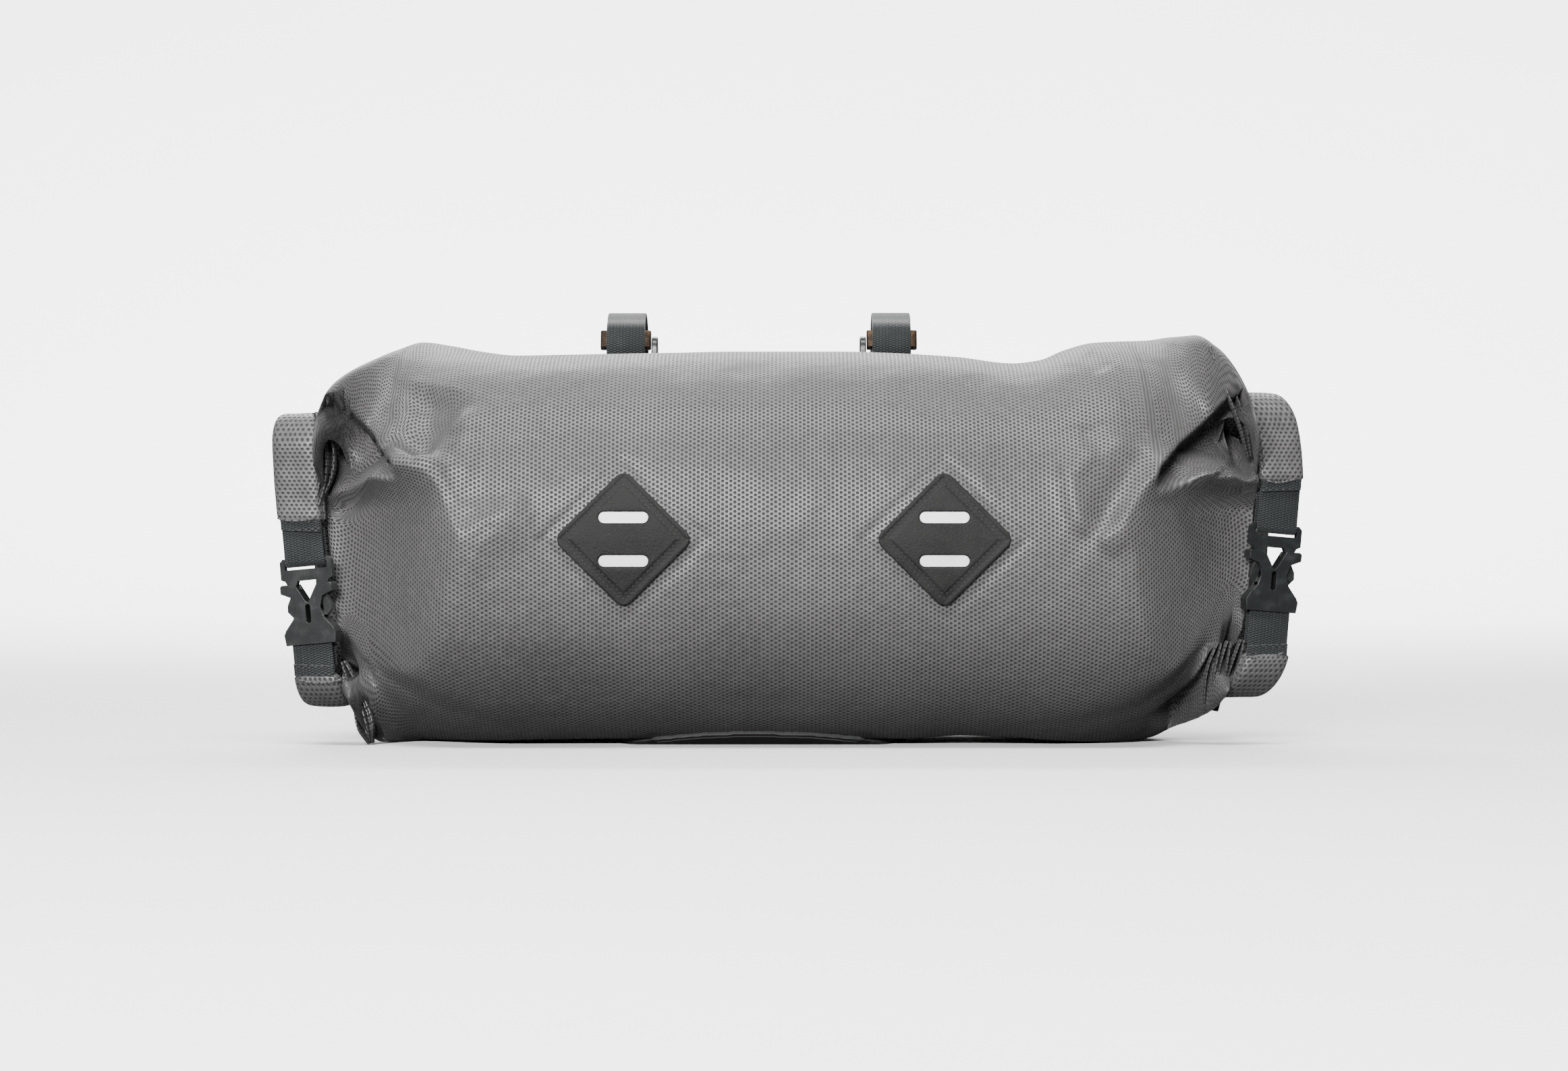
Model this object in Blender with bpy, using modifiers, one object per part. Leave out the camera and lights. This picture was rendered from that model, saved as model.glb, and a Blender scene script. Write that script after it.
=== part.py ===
"""Handlebar bag with two rolled mouths, lying on its bottom with its front towards -Y.

Metres, +Z up, +X along the bag, origin on the flat underside below the middle of the bag.
"""

import functools
import math

import bmesh
import bpy
import numpy as np
from mathutils import Matrix, Vector

# Driving dimensions
BAG_HEIGHT = 0.184
BAG_DEPTH = 0.166
FABRIC_WALL = 0.0014
GAP = 0.0003
ROUNDNESS = 2.25
BASE_PRESS = 0.0055

ROLL_WIDTH = 0.0218
ROLL_THICK = 0.0092
ROLL_CORNER = 0.0105
RING_DEPTH = 0.045
RING_FRONT = -0.040
RING_SWING = 11
SLIT_HALF = 0.0021
MOUTH_SEAM = 0.0007

WEBBING_WIDTH = 0.019
WEBBING_THICK = 0.0013
BUCKLE_WIDTH = 0.0250
BUCKLE_LENGTH = 0.0400
SOCKET_THICK = 0.0086
PLUG_THICK = 0.0034
BUCKLE_BAR = 0.0011

PATCH_SIDE = 0.0450
PATCH_CORNER = 0.0050
PATCH_THICK = 0.0016
PATCH_SPACING = 0.1444
PATCH_HEIGHT = 0.0953
BAR_LENGTH = 0.0224
BAR_WIDTH = 0.0052
BAR_SPACING = 0.0196
BAR_SUNK = 0.0005

PANEL_THICK = 0.0024
PANEL_WIDTH = 0.138
PANEL_CORNER = 0.022
PANEL_TOP_CORNER = 0.006
PANEL_REACH = 0.88
STRAP_SPACING = 0.1296
STRAP_CENTRE = -0.0123
STRAP_THICK = 0.0016
HANDLEBAR_HOLE = 0.0350
STRAP_SEAT = 0.006
STRAP_LEG = 0.060
KEEPER_TURN = 20
KEEPER_LENGTH = 0.0085
KEEPER_WALL = 0.0022
CHEEK_RADIUS = 0.0060
CHEEK_THICK = 0.0030

# Mesh fineness
AROUND_HALF = 25
PATH_STEPS = 240

# One closed mouth per end: where its band stands and how it leans.
# reach: bag centre to the middle of the band in front; low, high: band's outer ends as shares of BAG_HEIGHT
# lean, bow: how far the band's top leans out and its two ends bend in
# upper_tip, lower_tip: heights of the band's two cut ends in front, shares of BAG_HEIGHT
# drop: length of the upper webbing, from the upper tip to the buckle
MOUTHS = {
    "left": dict(side=-1, reach=0.2210, low=0.096, high=0.837, lean=0.0061, bow=0.0006,
                 upper_tip=0.561, lower_tip=0.180, drop=0.0165),
    "right": dict(side=1, reach=0.2276, low=0.117, high=0.888, lean=0.0041, bow=0.0100,
                  upper_tip=0.662, lower_tip=0.231, drop=0.0200),
}

# Sections of the tube from the middle to a mouth. along: share of the way to the mouth;
# flat: how far the tube is pressed flat; curl: how far it is bent forward into the C;
# turn: share of the band's swing; top, rise: heights of the outline's top and bottom as shares
# of BAG_HEIGHT; seat: share of the panel's thickness that lifts the bottom as well
SECTION_COLUMNS = ("along", "flat", "curl", "turn", "top", "rise", "seat")
SECTIONS = {
    "left": (
        (0.00, 0.00, 0.00, 0.00, 1.000, 0.0000, 1.0),
        (0.12, 0.00, 0.00, 0.00, 1.000, 0.0000, 1.0),
        (0.25, 0.00, 0.00, 0.00, 0.997, 0.0000, 1.0),
        (0.40, 0.00, 0.00, 0.00, 0.994, 0.0000, 1.0),
        (0.50, 0.00, 0.00, 0.00, 0.992, 0.0000, 0.9),
        (0.60, 0.02, 0.00, 0.08, 0.990, 0.0000, 0.7),
        (0.69, 0.06, 0.03, 0.22, 0.995, 0.0000, 0.5),
        (0.77, 0.12, 0.08, 0.38, 1.008, 0.0010, 0.3),
        (0.83, 0.21, 0.15, 0.53, 1.010, 0.0020, 0.1),
        (0.88, 0.33, 0.26, 0.68, 1.003, 0.0020, 0.0),
        (0.92, 0.48, 0.42, 0.81, 0.978, 0.0040, 0.0),
        (0.950, 0.66, 0.62, 0.90, 0.945, 0.0400, 0.0),
        (0.972, 0.84, 0.82, 0.96, 0.900, 0.0800, 0.0),
        (0.987, 0.96, 0.95, 0.99, 0.860, 0.0930, 0.0),
        (1.00, 1.00, 1.00, 1.00, None, None, 0.0),
    ),
    "right": (
        (0.00, 0.00, 0.00, 0.00, 1.000, 0.0000, 1.0),
        (0.12, 0.00, 0.00, 0.00, 1.000, 0.0000, 1.0),
        (0.26, 0.00, 0.00, 0.00, 0.995, 0.0000, 1.0),
        (0.38, 0.00, 0.00, 0.00, 0.986, 0.0080, 1.0),
        (0.50, 0.00, 0.00, 0.00, 0.970, 0.0020, 1.0),
        (0.56, 0.01, 0.00, 0.03, 0.978, 0.0010, 0.7),
        (0.62, 0.03, 0.01, 0.10, 1.005, 0.0010, 0.4),
        (0.69, 0.06, 0.03, 0.22, 1.025, 0.0010, 0.2),
        (0.77, 0.12, 0.08, 0.38, 1.030, 0.0020, 0.0),
        (0.83, 0.21, 0.15, 0.53, 1.031, 0.0080, 0.0),
        (0.88, 0.32, 0.25, 0.68, 1.036, 0.0330, 0.0),
        (0.920, 0.46, 0.41, 0.81, 1.036, 0.0600, 0.0),
        (0.948, 0.62, 0.59, 0.90, 1.005, 0.0900, 0.0),
        (0.970, 0.82, 0.80, 0.95, 0.945, 0.1130, 0.0),
        (0.986, 0.96, 0.95, 0.99, 0.900, 0.1190, 0.0),
        (1.00, 1.00, 1.00, 1.00, None, None, 0.0),
    ),
}


def lerp(start, end, share):
    return start + (end - start) * share


# Scene and materials

def clear_scene():
    for item in list(bpy.data.objects):
        bpy.data.objects.remove(item, do_unlink=True)


def new_collection(name):
    collection = bpy.data.collections.new(name)
    bpy.context.scene.collection.children.link(collection)
    return collection


def finish_material(name, colour, roughness, metallic=0.0):
    material = bpy.data.materials.new(name)
    material.use_nodes = True
    shader = material.node_tree.nodes["Principled BSDF"]
    shader.inputs["Base Color"].default_value = (*colour, 1.0)
    shader.inputs["Roughness"].default_value = roughness
    shader.inputs["Metallic"].default_value = metallic
    return material


def object_from_bmesh(name, mesh_data, material, collection):
    bmesh.ops.recalc_face_normals(mesh_data, faces=mesh_data.faces)
    mesh = bpy.data.meshes.new(name)
    mesh_data.to_mesh(mesh)
    mesh_data.free()
    item = bpy.data.objects.new(name, mesh)
    collection.objects.link(item)
    if material:
        mesh.materials.append(material)
    mesh.shade_smooth()
    mesh.set_sharp_from_angle(angle=math.radians(40))
    return item


# The C of a mouth band, as runs of straight line and arc in the YZ plane

def mouth_x(mouth, height):
    """Distance from the bag's centre to the middle of the band, at a height."""
    middle = (mouth["low"] + mouth["high"]) / 2 * BAG_HEIGHT
    half = (mouth["high"] - mouth["low"]) / 2 * BAG_HEIGHT
    share = max(-1.1, min(1.1, (height - middle) / half))
    return mouth["reach"] + mouth["lean"] * share - mouth["bow"] * share ** 4


def ring_runs(mouth):
    """Runs (length, first angle, last angle) from the lower tip round the back to the upper tip."""
    low = mouth["low"] * BAG_HEIGHT + ROLL_THICK / 2
    high = mouth["high"] * BAG_HEIGHT - ROLL_THICK / 2
    corner = ROLL_CORNER
    quarter = corner * math.pi / 2
    lower_arm = mouth["lower_tip"] * BAG_HEIGHT - (low + corner)
    upper_arm = (high - corner) - mouth["upper_tip"] * BAG_HEIGHT
    flat_run = RING_DEPTH - 2 * corner
    half_turn = math.pi / 2
    return (
        (lower_arm, -2 * half_turn, -2 * half_turn),
        (quarter, -2 * half_turn, -half_turn),
        (flat_run, -half_turn, -half_turn),
        (quarter, -half_turn, 0.0),
        (high - low - 2 * corner, 0.0, 0.0),
        (quarter, 0.0, half_turn),
        (flat_run, half_turn, half_turn),
        (quarter, half_turn, 2 * half_turn),
        (upper_arm, 2 * half_turn, 2 * half_turn),
    )


def ring_angle(runs, share):
    """Direction of the C at a share of its length: 0 up, a quarter turn forward, a half turn down."""
    left = share * sum(run[0] for run in runs)
    for length, first, last in runs:
        if left <= length or (length, first, last) == runs[-1]:
            return lerp(first, last, min(1.0, left / length)) if length else last
        left -= length
    return runs[-1][2]


def bent_path(mouth, curl, length, shares):
    """Points and directions of a line bent from upright, curl 0, to the C, curl 1."""
    runs = ring_runs(mouth)
    total = sum(run[0] for run in runs)
    back = sum(run[0] for run in runs[:4]) + runs[4][0] / 2
    centre = back / total
    y, z = 0.0, 0.0
    ys, zs = [0.0], [0.0]
    step = length / PATH_STEPS

    def direction(share):
        reach = centre if share < centre else 1 - centre
        away = (share - centre) / reach
        soft = math.pi * away * abs(away)
        return curl * lerp(soft, ring_angle(runs, share), curl ** 6)

    for index in range(PATH_STEPS):
        angle = direction((index + 0.5) / PATH_STEPS)
        y -= math.sin(angle) * step
        z += math.cos(angle) * step
        ys.append(y)
        zs.append(z)
    grid = np.linspace(0, 1, PATH_STEPS + 1)
    ys = np.array(ys) - np.interp(centre, grid, ys)
    zs = np.array(zs) - np.interp(centre, grid, zs)
    return [(np.interp(s, grid, ys), np.interp(s, grid, zs), direction(s)) for s in shares]


def ring_place(mouth):
    """How far the C's path, which starts at the middle of its back, is moved to its place."""
    runs = ring_runs(mouth)
    low = mouth["low"] * BAG_HEIGHT + ROLL_THICK / 2
    return RING_FRONT + RING_DEPTH, low + ROLL_CORNER + runs[4][0] / 2


def swung(mouth, x, depth, out, turn=1.0):
    """Place across the floor of a point of the C: depth behind its front arm, out across its band."""
    angle = math.radians(RING_SWING) * turn
    away = x - depth * math.sin(angle) + out * math.cos(angle)
    return mouth["side"] * away, RING_FRONT + depth * math.cos(angle) + out * math.sin(angle)


# The fabric tube

def section_row(mouth_name, along):
    """The named values of the section at a share of the way to the mouth, smoothly between rows."""
    mouth = MOUTHS[mouth_name]
    inset = ROLL_THICK / 2 - SLIT_HALF
    ends = (mouth["high"] - inset / BAG_HEIGHT, mouth["low"] + inset / BAG_HEIGHT)
    rows = [row if row[4] is not None else (*row[:4], *ends, 0.0) for row in SECTIONS[mouth_name]]
    places = [row[0] for row in rows]
    found = {}
    for column, name in enumerate(SECTION_COLUMNS):
        values = [row[column] for row in rows]
        found[name] = smooth_between(places, values, along)
    return found


def smooth_between(places, values, place):
    """Cubic between rows, with slopes that never overshoot them."""
    count = len(places)
    index = max(0, min(count - 2, int(np.searchsorted(places, place, side="right")) - 1))
    steps = [(values[i + 1] - values[i]) / (places[i + 1] - places[i]) for i in range(count - 1)]

    def slope(i):
        if i == 0 or i == count - 1:
            return 0.0 if i == 0 else steps[-1]
        if steps[i - 1] * steps[i] <= 0:
            return 0.0
        return 2 / (1 / steps[i - 1] + 1 / steps[i])

    width = places[index + 1] - places[index]
    t = (place - places[index]) / width
    a, b = values[index], values[index + 1]
    return ((2 * t ** 3 - 3 * t ** 2 + 1) * a + (t ** 3 - 2 * t ** 2 + t) * width * slope(index)
            + (3 * t ** 2 - 2 * t ** 3) * b + (t ** 3 - t ** 2) * width * slope(index + 1))


def tube_outline(mouth_name, along, half_count):
    """Closed outline of the tube at a share of the way to a mouth, as points in space.

    It starts at the lower tip, goes up the back layer to the upper tip and down the front layer.
    """
    mouth = MOUTHS[mouth_name]
    row = section_row(mouth_name, along)
    flat, curl = row["flat"], row["curl"]
    runs = ring_runs(mouth)
    ring_length = sum(run[0] for run in runs)
    length = lerp(BAG_HEIGHT, ring_length, flat)
    turns = [index / half_count for index in range(half_count + 1)]
    shares = [lerp(0.5 - 0.5 * math.cos(math.pi * t), t, flat) for t in turns]
    path = bent_path(mouth, curl, length, shares)
    ring_y, _ = ring_place(mouth)
    back_y = lerp(0.0, ring_y, flat)

    def half_depth(share):
        round_depth = BAG_DEPTH / 2 * (max(0.0, 1 - abs(2 * share - 1) ** ROUNDNESS)) ** (1 / ROUNDNESS)
        tip = 0.0 if share in (0.0, 1.0) else SLIT_HALF
        return lerp(round_depth, tip, flat)

    back, front = [], []
    for (y, z, angle), share in zip(path, shares):
        depth = half_depth(share)
        back.append((y + depth * math.cos(angle) + back_y, z + depth * math.sin(angle), z))
        front.append((y - depth * math.cos(angle) + back_y, z - depth * math.sin(angle), z))
    loop = back + front[-2:0:-1]
    top = row["top"] * BAG_HEIGHT
    bottom = row["rise"] * BAG_HEIGHT + row["seat"] * (PANEL_THICK + GAP)
    press = BASE_PRESS * (1 - flat)
    high, low = max(z for _, z, _ in loop), min(z for _, z, _ in loop)
    seam = ROLL_WIDTH / 2 + MOUTH_SEAM
    shift = mouth["reach"] * (along - 1) + seam * (1 - along)
    points = []
    for y, z, core in loop:
        height, core_height = (lerp(bottom - press, top, (c - low) / (high - low)) for c in (z, core))
        height = max(height, bottom)
        lean = (mouth_x(mouth, core_height) - mouth["reach"]) * flat
        x, swung_y = swung(mouth, mouth["reach"] + shift + lean, y - RING_FRONT, -seam, row["turn"])
        points.append((x, swung_y, height))
    return points


@functools.lru_cache
def tube_grid():
    """Rows of outline points from the left mouth to the right one."""
    rows = []
    for row in reversed(SECTIONS["left"][1:]):
        rows.append(tube_outline("left", row[0], AROUND_HALF))
    for row in SECTIONS["right"]:
        rows.append(tube_outline("right", row[0], AROUND_HALF))
    return np.array(rows)


def grid_normals(grid):
    along = np.gradient(grid, axis=0)
    around = np.roll(grid, -1, axis=1) - np.roll(grid, 1, axis=1)
    normals = np.cross(along, around)
    normals /= np.maximum(np.linalg.norm(normals, axis=2, keepdims=True), 1e-12)
    return normals


def make_shell(material, collection):
    """The tube's outer and inner faces, joined at the two thin mouths."""
    outer = tube_grid()
    normals = grid_normals(outer)
    middle = outer.mean(axis=1, keepdims=True)
    if np.sum(normals[len(outer) // 2] * (outer - middle)[len(outer) // 2]) < 0:
        normals = -normals
    flat = SECTION_COLUMNS.index("flat")
    flatness = [row[flat] for row in SECTIONS["left"][:0:-1] + SECTIONS["right"]]
    normals[:, :, 0] *= (1 - np.array(flatness) ** 2)[:, None]
    normals /= np.linalg.norm(normals, axis=2, keepdims=True)
    inner = outer - normals * FABRIC_WALL
    shell = bmesh.new()
    sheets = [[[shell.verts.new(point) for point in row] for row in grid] for grid in (outer, inner)]
    rows, count = outer.shape[:2]
    for sheet in sheets:
        for i in range(rows - 1):
            for j in range(count):
                k = (j + 1) % count
                shell.faces.new((sheet[i][j], sheet[i + 1][j], sheet[i + 1][k], sheet[i][k]))
    for i in (0, rows - 1):
        for j in range(count):
            k = (j + 1) % count
            shell.faces.new((sheets[0][i][j], sheets[0][i][k], sheets[1][i][k], sheets[1][i][j]))
    return object_from_bmesh("bag_shell", shell, material, collection)


# Bands, straps and plates

def strip_object(name, rows, thickness, rim, material, collection):
    """A strip through rows of two points, thickened on both sides, with rounded long edges."""
    strip = bmesh.new()
    verts = [[strip.verts.new(point) for point in row] for row in rows]
    for i in range(len(verts) - 1):
        for j in range(len(verts[i]) - 1):
            strip.faces.new((verts[i][j], verts[i][j + 1], verts[i + 1][j + 1], verts[i + 1][j]))
    mesh = bpy.data.meshes.new(name)
    strip.to_mesh(mesh)
    strip.free()
    item = bpy.data.objects.new(name, mesh)
    collection.objects.link(item)
    mesh.materials.append(material)
    mesh.shade_smooth()
    thicken = item.modifiers.new("thickness", "SOLIDIFY")
    thicken.thickness = thickness
    thicken.offset = 0.0
    thicken.use_even_offset = True
    if rim:
        soften = item.modifiers.new("soft edges", "BEVEL")
        soften.width = rim
        soften.segments = 2
        soften.limit_method = "ANGLE"
        soften.angle_limit = math.radians(50)
    return item


def make_roll(mouth_name, material, collection):
    """The mouth rolled into a thick band, bent into a C that opens to the front."""
    mouth = MOUTHS[mouth_name]
    runs = ring_runs(mouth)
    total = sum(run[0] for run in runs)
    even = [k / AROUND_HALF for k in range(AROUND_HALF + 1)]
    extra, start = [], 0.0
    for length, first, last in runs:
        if first != last:
            extra += [(start + length * k / 4) / total for k in range(5)]
        start += length
    clear = 0.2 / AROUND_HALF
    shares = sorted(even + [s for s in extra if min(abs(s - e) for e in even) > clear])
    move_y, move_z = ring_place(mouth)
    rows = []
    for y, z, _ in bent_path(mouth, 1.0, total, shares):
        height = z + move_z
        depth = y + move_y - RING_FRONT
        edges = [swung(mouth, mouth_x(mouth, height), depth, side * ROLL_WIDTH / 2) for side in (-1, 1)]
        rows.append([(*edge, height) for edge in edges])
    return strip_object(f"roll_{mouth_name}", rows, ROLL_THICK, ROLL_THICK * 0.28, material, collection)


def closure_frame(mouth_name):
    """A mouth's buckle: its matrix, the slope of the band's cut ends, and how far those are."""
    mouth = MOUTHS[mouth_name]
    tips = []
    for key in ("upper_tip", "lower_tip"):
        height = mouth[key] * BAG_HEIGHT
        tips.append(Vector((*swung(mouth, mouth_x(mouth, height), 0.0, 0.0), height)))
    up = (tips[0] - tips[1]).normalized()
    swing = math.radians(RING_SWING) * mouth["side"]
    band = Vector((math.cos(swing), math.sin(swing), 0.0))
    across = (band - up * band.dot(up)).normalized()
    centre = tips[0] - up * (mouth["drop"] + BUCKLE_LENGTH / 2)
    matrix = Matrix((across, up.cross(across), up)).transposed().to_4x4()
    matrix.translation = centre
    slope = band.dot(up) / band.dot(across)
    return matrix, slope, (tips[0] - centre).length, (tips[1] - centre).length


def hairpin(bar_z, direction, radius, long_leg, short_leg):
    """Path in the YZ plane: down the front, round a bar and back up behind it."""
    points = [(-radius, bar_z + direction * long_leg)]
    for step in range(9):
        angle = math.pi * step / 8
        points.append((-radius * math.cos(angle), bar_z - direction * radius * math.sin(angle)))
    points.append((radius, bar_z + direction * short_leg))
    return points


def make_webbing(name, matrix, slope, path, material, collection):
    """Webbing that starts at a band's level cut end and goes round a bar of the buckle."""
    half = WEBBING_WIDTH / 2
    rows = [[(-half, y, z), (half, y, z)] for y, z in path]
    rows[0] = [(x, y, z + x * slope) for x, y, z in rows[0]]
    item = strip_object(name, rows, WEBBING_THICK, 0.0, material, collection)
    item.matrix_world = matrix
    return item


def flat_plate(name, outlines, thickness, collection):
    """A flat piece from an outline and its holes, in the XZ plane, of one thickness."""
    curve = bpy.data.curves.new(name, "CURVE")
    curve.dimensions = "2D"
    curve.fill_mode = "BOTH"
    curve.extrude = thickness / 2
    for outline in outlines:
        spline = curve.splines.new("POLY")
        spline.points.add(len(outline) - 1)
        for point, (x, z) in zip(spline.points, outline):
            point.co = (x, z, 0.0, 1.0)
        spline.use_cyclic_u = True
    drawn = bpy.data.objects.new(name + "_outline", curve)
    collection.objects.link(drawn)
    bpy.context.view_layer.update()
    mesh = bpy.data.meshes.new_from_object(drawn.evaluated_get(bpy.context.evaluated_depsgraph_get()))
    bpy.data.objects.remove(drawn, do_unlink=True)
    plate = bmesh.new()
    plate.from_mesh(mesh)
    bpy.data.meshes.remove(mesh)
    bmesh.ops.remove_doubles(plate, verts=plate.verts, dist=1e-6)
    bmesh.ops.rotate(plate, verts=plate.verts, matrix=Matrix.Rotation(math.pi / 2, 3, "X"))
    return plate


def box_cutter(name, low, high, matrix, cutters):
    box = bmesh.new()
    bmesh.ops.create_cube(box, size=1.0)
    for vert in box.verts:
        vert.co = [lerp(a, b, c + 0.5) for a, b, c in zip(low, high, vert.co)]
    item = object_from_bmesh(name, box, None, cutters)
    item.matrix_world = matrix
    item.hide_render = True
    item.display_type = "WIRE"
    return item


def cut(item, cutter, solver="EXACT"):
    boolean = item.modifiers.new("cut " + cutter.name, "BOOLEAN")
    boolean.operation = "DIFFERENCE"
    boolean.solver = solver
    boolean.object = cutter


def mirrored(half):
    """A closed outline from the points of its right half, listed from the top to the bottom."""
    return half + [(-x, z) for x, z in reversed(half) if x > 0]


def make_plug(mouth_name, matrix, material, collection, cutters):
    """Frame that the upper webbing goes round, with two springy arms that reach into the socket."""
    half = BUCKLE_WIDTH / 2
    top = BUCKLE_LENGTH / 2
    sill = top - 0.0105
    arm = WEBBING_WIDTH * 0.34
    right_side = [
        (half - 0.0015, top), (half, top - 0.0015), (half, sill + 0.001), (half - 0.002, sill),
        (arm + 0.0020, sill - 0.0040), (arm + 0.0018, 0.0030), (arm + 0.0040, -0.0015),
        (arm + 0.0042, -0.0045), (arm + 0.0018, -0.0072), (arm, -0.0066), (arm + 0.0004, -0.0040),
        (arm - 0.0004, 0.0030), (arm - 0.0006, sill - 0.0038), (arm - 0.0020, sill),
    ]
    window_half = WEBBING_WIDTH / 2 + 2 * GAP
    slot_top = top - 2 * BUCKLE_BAR
    slot_bottom = slot_top - 2.3 * WEBBING_THICK
    slot = [(-window_half, slot_bottom), (window_half, slot_bottom), (window_half, slot_top),
            (-window_half, slot_top)]
    plate = flat_plate("plug", [mirrored(right_side), slot], PLUG_THICK, collection)
    item = object_from_bmesh(f"buckle_plug_{mouth_name}", plate, material, collection)
    item.matrix_world = matrix
    for label, side in (("front", -1), ("back", 1)):
        depths = sorted((side * BUCKLE_BAR, side * PLUG_THICK))
        low = (GAP / 2 - window_half, depths[0], slot_bottom + GAP)
        high = (window_half - GAP / 2, depths[1], top + GAP)
        cut(item, box_cutter(f"bar_{label}_{mouth_name}", low, high, matrix, cutters), "MANIFOLD")
    return item


def make_socket(mouth_name, matrix, material, collection, cutters):
    """Housing with a V mouth, side windows for the plug's arms and a bar for the lower webbing."""
    half = BUCKLE_WIDTH / 2
    bottom = -BUCKLE_LENGTH / 2
    horn = BUCKLE_LENGTH * 0.20
    arm = WEBBING_WIDTH * 0.34
    right_side = [
        (0.0, -0.0005), (0.0008, 0.0), (arm - 0.0012, horn), (half - 0.0008, horn),
        (half, horn - 0.0008), (half, 0.0040), (arm + 0.0010, 0.0018), (arm - 0.0004, -0.0030),
        (arm + 0.0010, -0.0080), (half - 0.0010, bottom + 0.0070), (half, bottom + 0.0050),
        (half - 0.0006, bottom),
    ]
    slot = [(0.0012 * math.cos(a), -0.0058 + 0.0012 * math.sin(a) + (0.0032 if a < math.pi else -0.0032))
            for a in [math.pi * (i + 0.5) / 4 for i in range(8)]]
    plate = flat_plate("socket", [mirrored(right_side), slot], SOCKET_THICK, collection)
    item = object_from_bmesh(f"buckle_socket_{mouth_name}", plate, material, collection)
    item.matrix_world = matrix
    channel = PLUG_THICK / 2 + GAP
    for side in (-1, 1):
        near, far, out = arm - 0.0024, arm + 0.0041, half + 0.001
        spans = (("channel", near, far, -0.0085, horn + 0.001), ("window", near, out, -0.0085, 0.0036))
        for label, first, last, low_z, high_z in spans:
            xs = sorted((side * first, side * last))
            cutter = box_cutter(f"{label}_{mouth_name}_{side}", (xs[0], -channel, low_z),
                                (xs[1], channel, high_z), matrix, cutters)
            cut(item, cutter)
    pocket = WEBBING_WIDTH / 2 + 2 * GAP
    reach = BUCKLE_BAR + 2 * GAP + WEBBING_THICK + GAP
    bar_z = bottom + 0.0030
    spans = (("below", bottom - 0.001, bar_z - BUCKLE_BAR, -reach, reach),
             ("above", bar_z + BUCKLE_BAR, bar_z + reach, -reach, reach),
             ("front", bottom - 0.001, bar_z + reach, -reach, -BUCKLE_BAR),
             ("back", bottom - 0.001, bar_z + reach, BUCKLE_BAR, reach))
    for label, low_z, high_z, low_y, high_y in spans:
        cutter = box_cutter(f"pocket_{label}_{mouth_name}", (-pocket, low_y, low_z),
                            (pocket, high_y, high_z), matrix, cutters)
        cut(item, cutter)
    return item


def make_closure(mouth_name, fabric, webbing, plastic, collection, cutters):
    make_roll(mouth_name, fabric, collection)
    matrix, slope, to_upper, to_lower = closure_frame(mouth_name)
    radius = BUCKLE_BAR + 2 * GAP + WEBBING_THICK / 2
    top_bar = BUCKLE_LENGTH / 2 - BUCKLE_BAR
    low_bar = -BUCKLE_LENGTH / 2 + 0.0030
    upper = hairpin(top_bar, 1, radius, to_upper - top_bar - GAP, (to_upper - top_bar) * 0.8)
    lower = hairpin(low_bar, -1, radius, to_lower + low_bar - GAP, (to_lower + low_bar) * 0.8)
    for name, path in (("upper", upper), ("lower", lower)):
        make_webbing(f"webbing_{name}_{mouth_name}", matrix, slope, path, webbing, collection)
    make_plug(mouth_name, matrix, plastic, collection, cutters)
    make_socket(mouth_name, matrix, plastic, collection, cutters)


# Patches on the front

def shell_outline(x):
    """Outline of the finished shell at a place along the bag, in its plain middle stretch."""
    grid = tube_grid()
    places = grid[:, 0, 0]
    after = int(np.searchsorted(places, x))
    share = (x - places[after - 1]) / (places[after] - places[after - 1])
    return lerp(grid[after - 1], grid[after], share)[:, 1:]


def front_surface(x, height):
    """The bag's front at a place along it and a height."""
    loop = shell_outline(x)
    front = np.concatenate((loop[AROUND_HALF:], loop[:1]))[::-1]
    return float(np.interp(height, front[:, 1], front[:, 0]))


def rounded_polygon(corners, radius, steps=4):
    """Outline of straight sides joined by arcs that touch them."""
    outline = []
    count = len(corners)
    for index in range(count):
        before, here, after = (Vector(corners[(index + k) % count]) for k in (-1, 0, 1))
        to_before, to_after = (before - here).normalized(), (after - here).normalized()
        half_angle = to_before.angle(to_after) / 2
        inset = radius / math.tan(half_angle)
        start, end = here + to_before * inset, here + to_after * inset
        bisector = (to_before + to_after).normalized()
        centre = here + bisector * (radius / math.sin(half_angle))
        first, last = start - centre, end - centre
        sweep = first.angle_signed(last)
        for step in range(steps + 1):
            turned = first.copy()
            turned.rotate(Matrix.Rotation(-sweep * step / steps, 2))
            outline.append(tuple(centre + turned))
    return outline


def pill(length, width, height, steps=6):
    """Outline of a bar with round ends."""
    radius = width / 2
    run = length / 2 - radius
    outline = []
    for side, start in ((1, -math.pi / 2), (-1, math.pi / 2)):
        for step in range(steps + 1):
            angle = start + math.pi * step / steps
            outline.append((side * run + radius * math.cos(angle), height + radius * math.sin(angle)))
    return outline


def lay_on_front(plate, centre_x, lift):
    """Bends a flat plate round the bag's front, lift above the fabric."""
    heights = [vert.co.z for vert in plate.verts]
    low, high = min(heights), max(heights)
    cuts = max(1, math.ceil((high - low) / 0.0075))
    for index in range(1, cuts):
        place = Vector((0, 0, lerp(low, high, index / cuts)))
        bmesh.ops.bisect_plane(plate, geom=plate.verts[:] + plate.edges[:] + plate.faces[:],
                               plane_co=place, plane_no=Vector((0, 0, 1)), dist=1e-7)
    for vert in plate.verts:
        x, height = vert.co.x + centre_x, vert.co.z + PATCH_HEIGHT
        vert.co = (x, front_surface(x, height) - lift + vert.co.y, height)


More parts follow.
